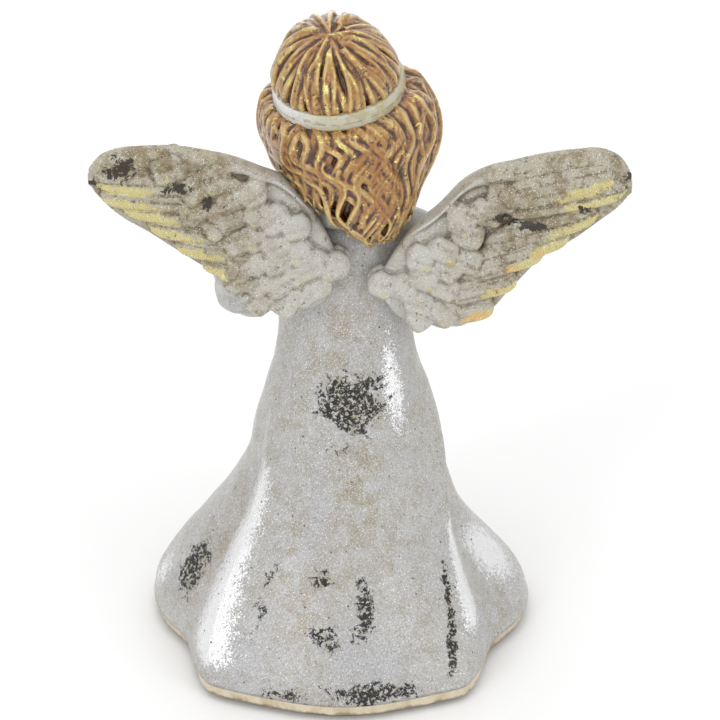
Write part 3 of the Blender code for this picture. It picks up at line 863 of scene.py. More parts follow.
def make_head(finish):
    def place(share, turn):
        z = np.cos(math.pi * share)
        ring = np.sin(math.pi * share)
        x, y = ring * np.cos(turn), ring * np.sin(turn)
        jaw = 1 - 0.22 * smooth_step(-0.2, -1.0, z)
        x, y, z = SKULL.x * x * jaw, SKULL.y * y, SKULL.z * z
        front = smooth_step(-0.5, -4.5, y)
        flat = 1.1 * bell(np.abs(x) - 6.4, 2.2) * bell(z + 1.5, 6)
        y = y - front * (face_relief(x, z) + flat)
        return x, y, z

    skull = ball(300, 240, place)
    skull.transform(HEAD @ Matrix.Translation(FACE_FORWARD))
    neck = limb(NECK, 60, 50, 8)
    mesh = fuse([skull, neck], 0.19)
    soften(mesh, 1)
    here = HEAD @ Matrix.Translation(FACE_FORWARD)
    turn = here.to_3x3()
    local = points_of(mesh) @ np.array(turn) - np.array(turn.transposed() @ here.translation)
    x, y, z = local.T
    front = smooth_step(-4, -7, y)
    full = np.sqrt(np.maximum(0, 1 - (x / 2.55) ** 2))
    top = MOUTH_LEVEL + full * (0.78 - 0.22 * bell(x, 0.35)) + 0.045 * x**2
    foot = MOUTH_LEVEL - full * 1.05 + 0.045 * x**2
    lips = smooth_step(top + 0.12, top - 0.12, z) * smooth_step(foot - 0.12, foot + 0.12, z) * (full > 0)
    arch = np.abs(x) - 3.9
    brow = bell(z - 2.75 + 0.12 * (arch - 0.3) ** 2, 0.26) * (1 - smooth_step(1.7, 2.5, np.abs(arch)))
    attribute(mesh, "lips", front * lips)
    attribute(mesh, "lashes", front * np.maximum(lash_line(x, z), 0.45 * mouth_line(x, z)))
    attribute(mesh, "brows", front * brow)
    attribute(mesh, "blush", front * bell(np.abs(x) - 5.4, 2.0) * bell(z + 4.4, 1.9))
    mark_relief(mesh, 30)
    add_piece("face_and_neck", mesh, finish, "head")


# ---------------------------------------------------------------- hair and headband


# Where the hair swells out of its oval: direction, height, spread in radians
HAIR_FORMS = [
    ((-1, -0.25, -0.25), 2.9, 0.42),
    ((1, -0.25, 0.15), 1.2, 0.26),
    ((-0.14, 0.49, -0.87), 4.4, 0.40),
    ((-0.03, 0.10, 1), 0.7, 0.25),
]
TO_BAND = BAND.inverted() @ HEAD
BAND_PINCH = 2.1  # how far the ribbon draws the hair in
WHORL = Vector((-0.05, 0.27, 0.96)).normalized()
FACE_WINDOW = np.array([9.6, 12, 13.5])
WINDOW_PLACE = np.array([0, -14.5, -4.5])
NAPE = -8.0  # bearing of the lowest lock, in degrees


def above_band(points):
    """Height of head-local points above the middle of the headband."""
    return points @ np.array(TO_BAND[2][:3]) + TO_BAND[2][3]


def hair_reach(ways):
    """Distance from the head's middle to the outside of the hair along unit vectors."""
    reach = 1 / np.linalg.norm(ways / np.array(HAIR), axis=1)
    for direction, height, spread in HAIR_FORMS:
        away = np.arccos(np.clip(ways @ np.array(Vector(direction).normalized()), -1, 1))
        reach = reach + height * bell(away, spread)
    height = above_band(ways * reach[:, None])
    drawn = np.where(height > 0, bell(height, 2.6), smooth_step(-2.6, -0.4, height))
    forehead = 0.25 + 0.75 * smooth_step(-0.7, 0.1, ways[:, 1])  # it holds the hair out in front
    return reach - BAND_PINCH * drawn * forehead


def on_hair(ways, lift):
    """Points on the hair, in the head's own axes, lift mm above its surface."""
    ways = np.asarray(ways, float)
    ways = ways / np.linalg.norm(ways, axis=1, keepdims=True)
    return ways * (hair_reach(ways) + lift)[:, None]


def towards(bearing, polar):
    """Unit vectors at a bearing and an angle down from the crown, both in degrees."""
    bearing, polar = np.radians(bearing), np.radians(polar)
    return np.stack([np.sin(polar) * np.sin(bearing), np.sin(polar) * np.cos(bearing), np.cos(polar)], -1)


def band_polar(bearing):
    """Angle down from the crown at which the headband crosses each bearing."""
    angles = np.linspace(20, 120, 201)
    crossing = []
    for one in np.atleast_1d(bearing):
        heights = above_band(on_hair(towards(np.full_like(angles, one), angles), 0))
        crossing.append(angles[int(np.argmax(heights < 0))])
    return np.array(crossing)


def strand(points, radius, thin_start=0.35, thin_end=0.25):
    """Rows (x, y, z, radius) of a lock that thins towards both ends."""
    share = np.linspace(0, 1, len(points))
    full = np.minimum(thin_start + (1 - thin_start) * smooth_step(0, 0.25, share), 1)
    full = np.minimum(full, thin_end + (1 - thin_end) * smooth_step(1.0, 0.62, share))
    return np.column_stack([points, radius * full])


def crown_strands():
    """Locks that run out from the whorl at the back of the crown and tuck under the band."""
    side = WHORL.orthogonal().normalized()
    up = WHORL.cross(side)
    paths = []
    count = 62
    for k in range(count):
        turn = math.tau * (k + RANDOM.uniform(-0.32, 0.32)) / count
        swirl = RANDOM.uniform(0.0, 0.75)
        wobble = RANDOM.uniform(0.04, 0.14)
        phase = RANDOM.uniform(0, math.tau)
        start = RANDOM.choice([0.0, 0.03, 0.16])
        away = np.linspace(start, 2.3, 110)
        bend = turn + swirl * np.sin(np.minimum(away, 1.6)) * 0.6 + wobble * np.sin(5.5 * away + phase)
        ways = (
            np.cos(away)[:, None] * np.array(WHORL)
            + (np.sin(away) * np.cos(bend))[:, None] * np.array(side)
            + (np.sin(away) * np.sin(bend))[:, None] * np.array(up)
        )
        surface = on_hair(ways, 0)
        last = int(np.argmax(above_band(surface) < -0.4))
        keep = np.linspace(0, last, 20).astype(int)
        height = above_band(surface[keep])
        lift = -0.25 + RANDOM.uniform(-0.35, 0.35) - 0.55 * (1 - smooth_step(1.2, 3.0, height))
        width = 0.40 + 0.46 * smooth_step(0, 1.0, away[keep]) * RANDOM.uniform(0.6, 1.5)
        points = on_hair(ways[keep], lift)
        paths.append(np.column_stack([points, width * np.minimum(1, 0.45 + 2 * away[keep])]))
    for path in [paths[k] for k in RANDOM.permutation(count)[:34]]:
        # Finer locks lying over the first ones for part of their length
        start = int(RANDOM.integers(2, 9))
        over = path[start : start + int(RANDOM.integers(7, 11)), :3]
        if len(over) > 4:
            shift = RANDOM.uniform(-0.05, 0.05)
            turned = over + shift * np.cross(np.array(WHORL), over)
            paths.append(strand(on_hair(turned, 0.28), 0.5, 0.3, 0.3))
    return paths


def wavy(bearings, polars, lift, waves, size, phase):
    """Points down the hair that swing from side to side: size mm, waves in all."""
    share = np.linspace(0, 1, len(bearings))
    ways = towards(bearings, polars)
    points = on_hair(ways, lift)
    along = np.gradient(points, axis=0)
    aside = np.cross(along, ways)
    aside /= np.maximum(np.linalg.norm(aside, axis=1, keepdims=True), 1e-6)
    swing = size * np.sin(math.tau * waves * share + phase) * smooth_step(-0.15, 0.2, share)
    moved = points + aside * swing[:, None]
    return on_hair(moved, lift)


def lock_end(start):
    """How far down, as an angle from the crown, a lock reaches that leaves the band at each bearing."""
    aside = np.abs(start - NAPE) / 105
    return 151 - 9 * aside**2 + np.where(start < NAPE, 2, -20 * np.minimum(aside * 1.6, 1))


def lower_locks():
    """Wavy locks from under the band down to the nape, in three layers."""
    paths = []
    for layer, (count, lift, radius) in enumerate([(25, -0.45, 1.12), (20, 0.15, 0.82), (16, 0.45, 0.55)]):
        for k in range(count):
            start = -112 + 224 * (k + 0.5) / count + RANDOM.uniform(-3, 3) + 3 * layer
            first = band_polar(start)[0] - 2
            if layer:
                first += RANDOM.uniform(0, 26) * (layer - 0.4)
            last = float(lock_end(start)) + RANDOM.uniform(-3, 3)
            if k % 2 and not layer:
                last -= RANDOM.uniform(10, 24)
            share = np.linspace(0, 1, 34)
            polar = first + (last - first) * share
            gather = smooth_step(0.05, 1.0, share)
            bearing = start + (NAPE + 0.50 * (start - NAPE) - start) * gather
            waves = (last - first) / 33
            size = (1.45 if start > -45 else 0.8) * RANDOM.uniform(0.8, 1.2)
            phase = 0.9 + 0.030 * start + RANDOM.uniform(-0.45, 0.45)
            tuck = -0.5 * (1 - smooth_step(0.0, 0.12, share)) if not layer else 0
            points = wavy(bearing, polar, lift + tuck + RANDOM.uniform(-0.2, 0.25), waves, size, phase)
            paths.append(strand(points, radius * RANDOM.uniform(0.8, 1.25), 0.75, 0.22))
    return paths


def side_curls():
    """Thicker rolls that wrap round each side below and in front of the band."""
    paths = []
    share = np.linspace(0, 1, 30)
    for side, count in ((-1, 9), (1, 7)):
        for k in range(count):
            begin = 100 + 5.5 * k
            first = band_polar(side * begin)[0] + 1
            last = 118 + RANDOM.uniform(-4, 6) - 1.0 * k
            polar = first + (last - first) * share
            bearing = side * (begin + 6 * np.sin(math.pi * share) - (10 if k < 4 else 0) * share)
            size = RANDOM.uniform(0.7, 1.2)
            points = wavy(bearing, polar, 0.15 + RANDOM.uniform(-0.2, 0.35), 1.5, size, 0.6 * k)
            paths.append(strand(points, RANDOM.uniform(0.85, 1.2), 0.6, 0.4))
    for k in range(6):
        # Long smooth curves down the full right side
        start = -70 - 9 * k
        first = band_polar(start)[0] - 2
        polar = first + (146 - 3 * k - first) * share
        bearing = start + (0.50 * (start - NAPE) + NAPE - start) * smooth_step(0.35, 1.0, share)
        size, phase = RANDOM.uniform(0.9, 1.9), RANDOM.uniform(0, math.tau)
        points = wavy(bearing, polar, 0.35 + RANDOM.uniform(-0.2, 0.4), RANDOM.uniform(1.3, 2.2), size, phase)
        paths.append(strand(points, RANDOM.uniform(0.8, 1.3), 0.5, 0.25))
    for side in (-1, 1):
        for k in range(5):
            # The hairline: from the parting over the brow, out and down beside the cheek
            bearing = side * (176 - 8 * k - (38 - 4 * k) * smooth_step(0, 0.75, share))
            first = band_polar(side * (176 - 8 * k))[0] + 2.5
            polar = first + (112 - first) * share**1.15
            points = wavy(bearing, polar, 0.1 + 0.1 * k, 1.2, 0.5, 0.5 * k)
            paths.append(strand(points, 0.95, 0.6, 0.4))
    return paths


def fibres(points, paths):
    """Fine lines along each lock: -1 to 1 across it, from the nearest lock to each point."""
    rows = np.concatenate([path[:, :3] for path in paths])
    along = np.concatenate([np.gradient(path[:, :3], axis=0) for path in paths])
    number = np.concatenate([np.full(len(path), k) for k, path in enumerate(paths)])
    tree = kdtree.KDTree(len(rows))
    for k, row in enumerate(rows):
        tree.insert(row, k)
    tree.balance()
    near = np.array([tree.find(point)[1] for point in points])
    aside = np.cross(along[near], rows[near])
    aside /= np.maximum(np.linalg.norm(aside, axis=1, keepdims=True), 1e-6)
    across = ((points - rows[near]) * aside).sum(axis=1)
    return np.cos(across * math.tau / 0.85 + 1.9 * number[near])


HAIR_BED = -1.0  # the form under the locks, from the outside of the hair
HAIR_VOXEL = 0.235


def hair_half(mesh, name, upwards, finish):
    """The hair above or below the middle of the headband, as a closed piece of its own."""
    plane = HEAD.inverted() @ BAND
    bm = bmesh.new()
    bm.from_mesh(mesh)
    cut = bmesh.ops.bisect_plane(
        bm,
        geom=bm.verts[:] + bm.edges[:] + bm.faces[:],
        plane_co=plane.translation,
        plane_no=plane.col[2].xyz * upwards,
        clear_inner=True,
    )
    edges = [edge for edge in cut["geom_cut"] if isinstance(edge, bmesh.types.BMEdge)]
    bmesh.ops.holes_fill(bm, edges=edges)
    half = mesh_from(bm)
    half.transform(HEAD)
    add_piece(name, half, finish, "hair")


def make_hair(finish):
    def place(share, turn):
        polar = np.degrees(math.pi * share)
        ways = towards(90 - np.degrees(turn), polar)
        points = on_hair(ways, HAIR_BED)
        bare = np.degrees(math.pi * share) - lock_end(np.clip(2 * (90 - np.degrees(turn)) - NAPE, -112, 112))
        lower = 2.5 * smooth_step(5, 16, bare) * smooth_step(-2, 3, points[:, 1])
        shallow = 0.35 * smooth_step(0.5, 3.5, above_band(points))
        inside = 1 - np.linalg.norm((points - WINDOW_PLACE) / FACE_WINDOW, axis=1)
        sink = 5.0 * smooth_step(-0.04, 0.12, inside)
        under = smooth_step(0, -4, points[:, 1]) * smooth_step(-9, -13, points[:, 2])
        points = on_hair(ways, HAIR_BED + shallow - np.maximum(np.maximum(sink, 9 * under), lower))
        return points.T

    paths = crown_strands() + lower_locks() + side_curls()
    mesh = fuse([ball(140, 110, place), tubes(paths, 3)], HAIR_VOXEL)
    soften(mesh, 1)
    mark_relief(mesh, 22)
    attribute(mesh, "fibre", fibres(points_of(mesh), paths))
    local = points_of(mesh)
    # Attribute low: painted shade on the low part of the hair on its own left, under its lower edge
    attribute(mesh, "low", smooth_step(-9, -19, local[:, 2]) * smooth_step(-2, 5, local[:, 0]))
    hair_half(mesh, "hair_crown", 1, finish)
    hair_half(mesh, "hair_locks", -1, finish)


def make_headband(finish):
    """A flat ribbon round the hair, its edges tucked in."""

    def place(u, v):
        turn, section = math.tau * u, math.tau * v
        across = np.sign(np.cos(section)) * np.abs(np.cos(section)) ** 0.45
        outward = np.sign(np.sin(section)) * np.abs(np.sin(section)) ** 0.6
        lines = 0.032 * np.cos(across * 19 + 1.2 * np.sin(2 * turn)) * (outward > 0)
        lift = 0.1 + 0.85 * outward + 0.12 * (1 - across**2) * (outward > 0) + lines
        height = BAND_HEIGHT / 2 * across * (1 + 0.05 * np.sin(3 * turn + 1))
        flat = np.stack([np.cos(turn), np.sin(turn)], -1)
        to_head = np.array((HEAD.inverted() @ BAND).to_3x3()).T
        origin = np.array((HEAD.inverted() @ BAND).translation)
        far = np.full(len(u), 13.0)
        for _ in range(6):
            points = np.column_stack([flat * far[:, None], 0.4 * height]) @ to_head + origin
            length = np.linalg.norm(points, axis=1)
            far = far * (hair_reach(points / length[:, None]) + lift) / length
        return (np.column_stack([flat * far[:, None], height]) @ to_head + origin).T

    mesh = closed(sheet(320, 44, place))
    local = points_of(mesh)
    attribute(mesh, "line", np.cos(11.5 * above_band(local) + 2.0 * swirl_noise(local, 0.12, 5)))
    mark_relief(mesh, 10)
    mesh.transform(HEAD)
    add_piece("ribbon", mesh, finish, "headband")


# ---------------------------------------------------------------- finishes


class Value:
    """A number, colour or vector that a finish works out at each point of a surface."""

    def __init__(self, tree, socket):
        self.tree, self.socket = tree, socket

    def sum_of(self, operation, first, second=None):
        node = self.tree.nodes.new("ShaderNodeMath")
        node.operation = operation
        for socket, value in zip(node.inputs, (first, second)):
            fill(self.tree, socket, value)
        return Value(self.tree, node.outputs[0])

    def __add__(self, other):
        return self.sum_of("ADD", self, other)

    def __sub__(self, other):
        return self.sum_of("SUBTRACT", self, other)

    def __rsub__(self, other):
        return self.sum_of("SUBTRACT", other, self)

    def __mul__(self, other):
        return self.sum_of("MULTIPLY", self, other)

    __radd__, __rmul__ = __add__, __mul__

    def __or__(self, other):
        """The larger of two masks."""
        return self.sum_of("MAXIMUM", self, other)

    def size(self):
        return self.sum_of("ABSOLUTE", self)

    def step(self, low, high):
        """0 below low and 1 above high, with a smooth change between. High may be the smaller."""
        node = self.tree.nodes.new("ShaderNodeMapRange")
        node.interpolation_type = "SMOOTHSTEP"
        for name, value in (("Value", self), ("From Min", low), ("From Max", high)):
            fill(self.tree, node.inputs[name], value)
        return Value(self.tree, node.outputs["Result"])


def fill(tree, socket, value):
    """Links a value to a socket, or sets the socket to a plain number or colour."""
    if isinstance(value, Value):
        tree.links.new(value.socket, socket)
    elif value is not None:
        socket.default_value = value


class Finish:
    """One material: its nodes are added by add(), and Object coordinates are in mm."""

    def __init__(self, name):
        self.material = bpy.data.materials.new(name)
        self.material.use_nodes = True
        self.tree = self.material.node_tree
        self.shader = self.tree.nodes["Principled BSDF"]
        place = self.add("ShaderNodeTexCoord", out="Object")
        self.place = self.add("ShaderNodeVectorMath", {"operation": "SCALE"}, {0: place, "Scale": 1000.0})

    def add(self, kind, settings=None, sockets=None, out=0):
        node = self.tree.nodes.new(kind)
        for name, value in (settings or {}).items():
            setattr(node, name, value)
        for name, value in (sockets or {}).items():
            fill(self.tree, node.inputs[name], value)
        return Value(self.tree, node.outputs[out])

    def read(self, name):
        """A number stored on the piece's points."""
        return self.add("ShaderNodeAttribute", {"attribute_name": name}, out="Fac")

    def stretched(self, size, turn=(0, 0, 0)):
        """Coordinates for a pattern that is drawn out: size is its scale along each axis."""
        sockets = {"Vector": self.place, "Scale": size, "Rotation": turn}
        return self.add("ShaderNodeMapping", None, sockets, "Vector")

    def grain(self, scale, detail=2.0, rough=0.5, distortion=0.0, at=None):
        sockets = {"Vector": at or self.place, "Scale": scale, "Detail": detail, "Roughness": rough}
        return self.add("ShaderNodeTexNoise", None, {**sockets, "Distortion": distortion}, "Fac")

    def cells(self, scale, out="Distance", feature="F1", at=None):
        return self.add(
            "ShaderNodeTexVoronoi", {"feature": feature}, {"Vector": at or self.place, "Scale": scale}, out
        )

    def mix(self, first, second, share):
        """Colour from first to second as share goes from 0 to 1."""
        node = self.tree.nodes.new("ShaderNodeMix")
        node.data_type = "RGBA"
        for index, value in ((0, share), (6, first), (7, second)):
            fill(self.tree, node.inputs[index], value)
        return Value(self.tree, node.outputs[2])

    def part(self, colour, axis):
        return self.add("ShaderNodeSeparateXYZ", None, {"Vector": colour}, axis)

    def bump(self, height, distance, below=None):
        """A normal from a height of 0 to 1, which stands for distance mm."""
        sockets = {"Height": height, "Distance": distance * MM, "Normal": below}
        return self.add("ShaderNodeBump", None, sockets, "Normal")

    def set(self, **sockets):
        """Fills the shader's sockets, named with underscores."""
        for name, value in sockets.items():
            fill(self.tree, self.shader.inputs[name.replace("_", " ")], value)
        return self.material


def colour(red, green, blue):
    """A colour as it looks, 0 to 255, in the renderer's linear values."""
    return (*(((v / 255 + 0.055) / 1.055) ** 2.4 if v > 10 else v / 3294.6 for v in (red, green, blue)), 1)


def add_glitter(look, strength=1.0):
    """A mask of the small flakes that catch the light."""
    chance = look.part(look.cells(4.2, "Color"), "X")
    flake = chance.step(1 - 0.030 * strength, 1 - 0.026 * strength) * look.cells(4.2).step(0.42, 0.34)
    fine = look.part(look.cells(8.0, "Color"), "Y")
    return flake | (fine.step(1 - 0.06 * strength, 1 - 0.05 * strength) * 0.55)


def pearl_robe():
    """Mother-of-pearl paint with glitter, bright silver leaf on the folds whose near-white colour is partly a
    painted highlight, and dark worn leaf in patches.
    """
    look = Finish("pearl_robe")
    leaf, foil_and_highlight, relief = look.read("leaf"), look.read("foil_and_highlight"), look.read("relief")
    cloud = look.grain(0.11, 3, 0.55)
    mottle = look.grain(0.32, 4, 0.62, 0.6)
    fine = look.grain(3.2, 3, 0.7)
    grit = look.grain(9.0, 2, 0.6)
    base = look.mix(colour(186, 185, 182), colour(164, 156, 140), mottle.step(0.42, 0.66) * 0.75)
    base = look.mix(base, colour(180, 181, 184), cloud.step(0.46, 0.70) * 0.6)
    # Warm beige-brown: tint, and painted shade in the fold valley beside the left ridge
    base = look.mix(base, colour(160, 147, 124), look.read("warm") * mottle.step(0.36, 0.60) * 0.8)
    base = look.mix(base, colour(176, 177, 186), look.read("lilac") * 0.5)
    brushed = look.grain(1.5, 3, 0.6, 0.3, look.stretched((1, 1, 0.18)))
    base = look.mix(base, colour(160, 153, 140), brushed.step(0.54, 0.66) * 0.45)
    base = look.mix(base, colour(216, 216, 215), fine.step(0.50, 0.68) * 0.7)
    base = look.mix(base, colour(126, 118, 106), fine.step(0.46, 0.32) * 0.55)
    base = look.mix(base, colour(152, 143, 130), relief.step(-0.02, -0.35) * 0.6)
    # Bright silver leaf, painted near white: partly real leaf, partly a painted highlight on the ridges and
    # flares
    torn = look.grain(0.9, 5, 0.75, 0.4)
    speckle = look.grain(2.6, 4, 0.8, 0.5)
    silver_and_highlight = (foil_and_highlight + (torn - 0.5) * 1.4 + (speckle - 0.5) * 2.8).step(0.46, 0.54)
    base = look.mix(base, colour(249, 249, 250), silver_and_highlight)
    # Worn leaf: dark shreds, thin and curved, on an olive-gold ground
    wander = look.grain(0.42, 5, 0.75, 0.8)
    spread = (leaf + (wander - 0.5) * 3.1).step(0.50, 0.66)
    shred = (look.grain(0.80, 3, 0.6, 1.2) - 0.5).size().step(0.11, 0.06)
    leaning = look.stretched((1, 1, 0.5), (0, 0.5, 0))
    cross = (look.grain(1.05, 3, 0.6, 1.2, leaning) - 0.5).size().step(0.10, 0.05)
    broken = look.grain(1.4, 2, 0.5).step(0.38, 0.48)
    dark = spread * ((shred | cross) * broken)
    ground = (leaf + (look.grain(0.5, 4, 0.7) - 0.5) * 1.8).step(0.62, 0.82)
    ground = ground * look.grain(1.3, 3, 0.7).step(0.42, 0.60)
    olive = look.mix(colour(150, 142, 104), colour(206, 204, 176), grit.step(0.42, 0.6))
    base = look.mix(base, olive, ground * 0.8)
    base = look.mix(base, colour(34, 31, 30), dark)
    # Stray dark specks, thick in some patches and rare elsewhere
    stray = look.cells(0.62, "Distance")
    chance = look.part(look.cells(0.62, "Color"), "X")
    speck = stray.step(0.15, 0.10) * chance.step(0.46, 0.50) * look.grain(0.14, 2).step(0.44, 0.56)
    base = look.mix(base, colour(60, 56, 54), speck * 0.9)
    glitter = add_glitter(look, 1.3) * (1 - dark)
    base = look.mix(base, colour(250, 250, 252), glitter)
    metal = (silver_and_highlight * 0.92 | glitter * 0.9) | ground * 0.55
    tilt = look.bump(look.part(look.cells(4.2, "Color"), "Z"), 0.22)
    uneven = look.bump(fine * 0.5 + grit * 0.5, 0.10, tilt)
    normal = look.bump(torn * silver_and_highlight + 0.6 * dark, 0.10, uneven)
    rough = look.add("ShaderNodeMix", None, {0: silver_and_highlight, 2: 0.44, 3: 0.20})
    return look.set(
        Base_Color=base,
        Roughness=rough + (fine - 0.5) * 0.12 + 0.25 * dark,
        Metallic=metal * (1 - dark) + 0.10,
        Normal=normal,
        Coat_Weight=0.35,
        Coat_Roughness=0.12,
    )


def feather_pearl():
    """Pearl over cream, brown wash in the grooves, gold leaf along the feather tips and worn dark patches."""
    look = Finish("feather_pearl")
    gilt, leaf, relief, outer = (look.read(name) for name in ("gilt", "leaf", "relief", "outer"))
    barb, rim = look.read("barb"), look.read("rim")
    cloud = look.grain(0.22, 3, 0.6)
    fine = look.grain(3.4, 3, 0.7)
    grit = look.grain(8.0, 2, 0.6)
    base = look.mix(colour(194, 191, 183), colour(162, 152, 120), cloud.step(0.44, 0.66) * 0.35 + outer * 0.6)
    base = look.mix(base, colour(224, 223, 216), fine.step(0.5, 0.72) * 0.6)
    base = look.mix(base, colour(136, 123, 94), fine.step(0.42, 0.28) * 0.6)
    wash = look.grain(1.1, 3, 0.6)
    patch = look.grain(0.30, 4, 0.65, 0.5)
    base = look.mix(base, colour(134, 118, 84), patch.step(0.46, 0.60) * outer * 0.8)
    line = barb.step(-0.2, -0.95) * wash.step(0.40, 0.58) * (0.2 + 0.6 * outer)
    base = look.mix(base, colour(108, 90, 58), line)
    edge = rim.step(0.5, 1.0) * wash.step(0.42, 0.54) * (0.55 + 0.35 * outer)
    base = look.mix(base, colour(92, 74, 46), edge)
    groove = (relief + (wash - 0.5) * 0.10).step(-0.03, -0.10)
    base = look.mix(base, colour(104, 88, 62), groove * (0.45 + 0.50 * outer))
    base = look.mix(base, colour(222, 222, 222), relief.step(0.05, 0.22) * 0.45)
    torn = look.grain(0.45, 5, 0.7, 0.5)
    gold = (gilt + (torn - 0.5) * 2.0).step(0.45, 0.80)
    warm = look.grain(0.16, 2).step(0.52, 0.62)
    base = look.mix(base, look.mix(colour(218, 206, 142), colour(226, 190, 118), warm), gold * 0.85)
    wander = look.grain(0.50, 5, 0.75, 0.8)
    dark = (leaf + (wander - 0.5) * 3.0).step(0.66, 0.72)
    shred = (look.grain(1.7, 3, 0.6, 1.2) - 0.5).size().step(0.05, 0.025)
    shred = shred * look.grain(0.7, 3, 0.7).step(0.58, 0.64)
    dark = dark | shred * 0.85
    base = look.mix(base, colour(52, 44, 32), dark)
    glitter = add_glitter(look, 1.0) * (1 - dark)
    base = look.mix(base, colour(248, 248, 250), glitter)
    tilt = look.bump(look.part(look.cells(4.2, "Color"), "Z"), 0.18)
    normal = look.bump(fine * 0.4 + grit * 0.3 + barb * 0.3 * (0.3 + 0.7 * outer) - 0.5 * rim, 0.16, tilt)
    return look.set(
        Base_Color=base,
        Roughness=0.46 + (fine - 0.5) * 0.2 - 0.2 * gold + 0.1 * dark,
        Metallic=(gold * 0.75 | glitter * 0.9) * (1 - dark) + 0.06,
        Normal=normal,
        Coat_Weight=0.25,
        Coat_Roughness=0.15,
    )


def golden_hair():
    """Golden ochre worn back to red-brown in the grooves, glossy, with flecks of gold leaf."""
    look = Finish("golden_hair")
    relief, low = look.read("relief"), look.read("low")
    cloud = look.grain(0.24, 3, 0.6)
    fine = look.grain(2.6, 4, 0.7)
    streak = look.grain(1.3, 3, 0.6, 0.8)
    fibre = look.read("fibre")
    depth = relief + (streak - 0.5) * 0.18 + fibre * 0.03
    base = look.mix(colour(172, 130, 62), colour(158, 100, 30), cloud.step(0.44, 0.60) * 0.8)
    base = look.mix(base, colour(208, 178, 116), depth.step(0.05, 0.14) * 0.9)
    base = look.mix(base, colour(140, 84, 22), depth.step(0.03, -0.03) * 0.85)
    base = look.mix(base, colour(66, 30, 10), depth.step(-0.01, -0.08))
    # Painted shadow: dark red-brown under the hair's lower edge on its own left
    base = look.mix(base, colour(66, 32, 14), low * fine.step(0.35, 0.6) * 0.85)
    torn = look.grain(0.50, 5, 0.75, 0.8)
    gold = (torn + relief * 0.45).step(0.61, 0.65)
    base = look.mix(base, colour(236, 222, 130), gold * 0.9)
    shred = (look.grain(0.9, 3, 0.6, 1.0) - 0.5).size().step(0.06, 0.03)
    shred = shred * look.grain(0.35, 3, 0.7).step(0.56, 0.62)
    base = look.mix(base, colour(44, 30, 16), shred * 0.9)
    normal = look.bump(fine * 0.5 + fibre * 0.5, 0.16)
    return look.set(
        Base_Color=base,
        Roughness=0.34 + (fine - 0.5) * 0.2 - 0.1 * gold,
        Metallic=0.12 + 0.6 * gold,
        Normal=normal,
        Coat_Weight=1.0,
        Coat_Roughness=0.06,
    )


def ivory_ribbon():
    look = Finish("ivory_ribbon")
    relief = look.read("relief")
    fine = look.grain(3.0, 3, 0.6)
    cloud = look.grain(0.35, 3, 0.6)
    # Painted highlight: the ribbon whiter on its own left (+X) side, which faces the light
    painted_highlight_side = look.part(look.place, "X").step(2, 10)
    line = look.read("line").step(0.55, 0.98) * look.grain(0.8, 3, 0.6).step(0.42, 0.56)
    base = look.mix(colour(192, 188, 168), colour(170, 160, 118), cloud.step(0.44, 0.60) * 0.7)
    base = look.mix(base, colour(226, 226, 224), painted_highlight_side * 0.85)
    base = look.mix(base, colour(120, 108, 76), (line | relief.step(-0.004, -0.035)) * 0.7)
    base = look.mix(base, colour(136, 126, 94), fine.step(0.42, 0.30) * 0.6)
    gold = look.grain(0.55, 4, 0.7, 0.6).step(0.60, 0.65)
    base = look.mix(base, colour(216, 196, 104), gold * 0.8)
    normal = look.bump(fine, 0.06)
    return look.set(
        Base_Color=base,
        Roughness=0.36 + (fine - 0.5) * 0.15,
        Metallic=0.6 * gold,
        Normal=normal,
        Coat_Weight=0.35,
    )


def painted_skin():
    """Warm flesh paint with soft cheeks and hand-painted lips, lashes and brows."""
    look = Finish("painted_skin")
    lips, lashes, brows, blush, relief = (
        look.read(name) for name in ("lips", "lashes", "brows", "blush", "relief")
    )
    cloud = look.grain(0.35, 3, 0.6)
    fine = look.grain(4.0, 3, 0.6)
    base = look.mix(colour(236, 205, 182), colour(228, 190, 164), cloud.step(0.4, 0.65))
    base = look.mix(base, colour(196, 142, 112), relief.step(-0.02, -0.20) * 0.55)
    base = look.mix(base, colour(222, 146, 126), blush * 0.65)
    base = look.mix(base, colour(190, 92, 86), lips.step(0.25, 0.75) * 0.85)
    base = look.mix(base, colour(146, 102, 62), brows.step(0.30, 0.75) * 0.8)
    base = look.mix(base, colour(82, 52, 38), lashes.step(0.30, 0.75) * 0.9)
    return look.set(
        Base_Color=base,
        Roughness=0.42 + (fine - 0.5) * 0.15 - 0.1 * lips,
        Normal=look.bump(fine, 0.03),
        Coat_Weight=0.25,
        Coat_Roughness=0.2,
    )


def cream_base():
    """Unpainted cream resin, chipped, and darker towards its lower edge."""
    look = Finish("cream_base")
    relief = look.read("relief")
    height = look.part(look.place, "Z")
    cloud = look.grain(0.3, 4, 0.65)
    fine = look.grain(2.4, 4, 0.7)
    base = look.mix(colour(214, 202, 178), colour(194, 178, 148), cloud.step(0.4, 0.65))
    base = look.mix(base, colour(232, 226, 212), fine.step(0.5, 0.75) * 0.5)
    # Darker towards the plate's lower edge
    darker_towards_bottom = (height * -1 + (cloud - 0.5) * 2.2).step(-2.0, -1.3)
    base = look.mix(base, colour(118, 96, 62), darker_towards_bottom * 0.7)
    base = look.mix(base, colour(128, 108, 76), relief.step(-0.03, -0.14) * 0.5)
    rough = 0.55 + (fine - 0.5) * 0.2
    return look.set(Base_Color=base, Roughness=rough, Normal=look.bump(fine, 0.15), Coat_Weight=0.1)


def green_felt():
    look = Finish("green_felt")
    fibre = look.grain(6.0, 4, 0.8, 2.0)
    tuft = look.grain(1.2, 3, 0.6)
    base = look.mix(colour(44, 62, 48), colour(78, 96, 76), fibre.step(0.40, 0.65))
    base = look.mix(base, colour(34, 48, 38), tuft.step(0.5, 0.3) * 0.6)
    return look.set(Base_Color=base, Roughness=0.9 + (fibre - 0.5) * 0.1, Normal=look.bump(fibre, 0.25))


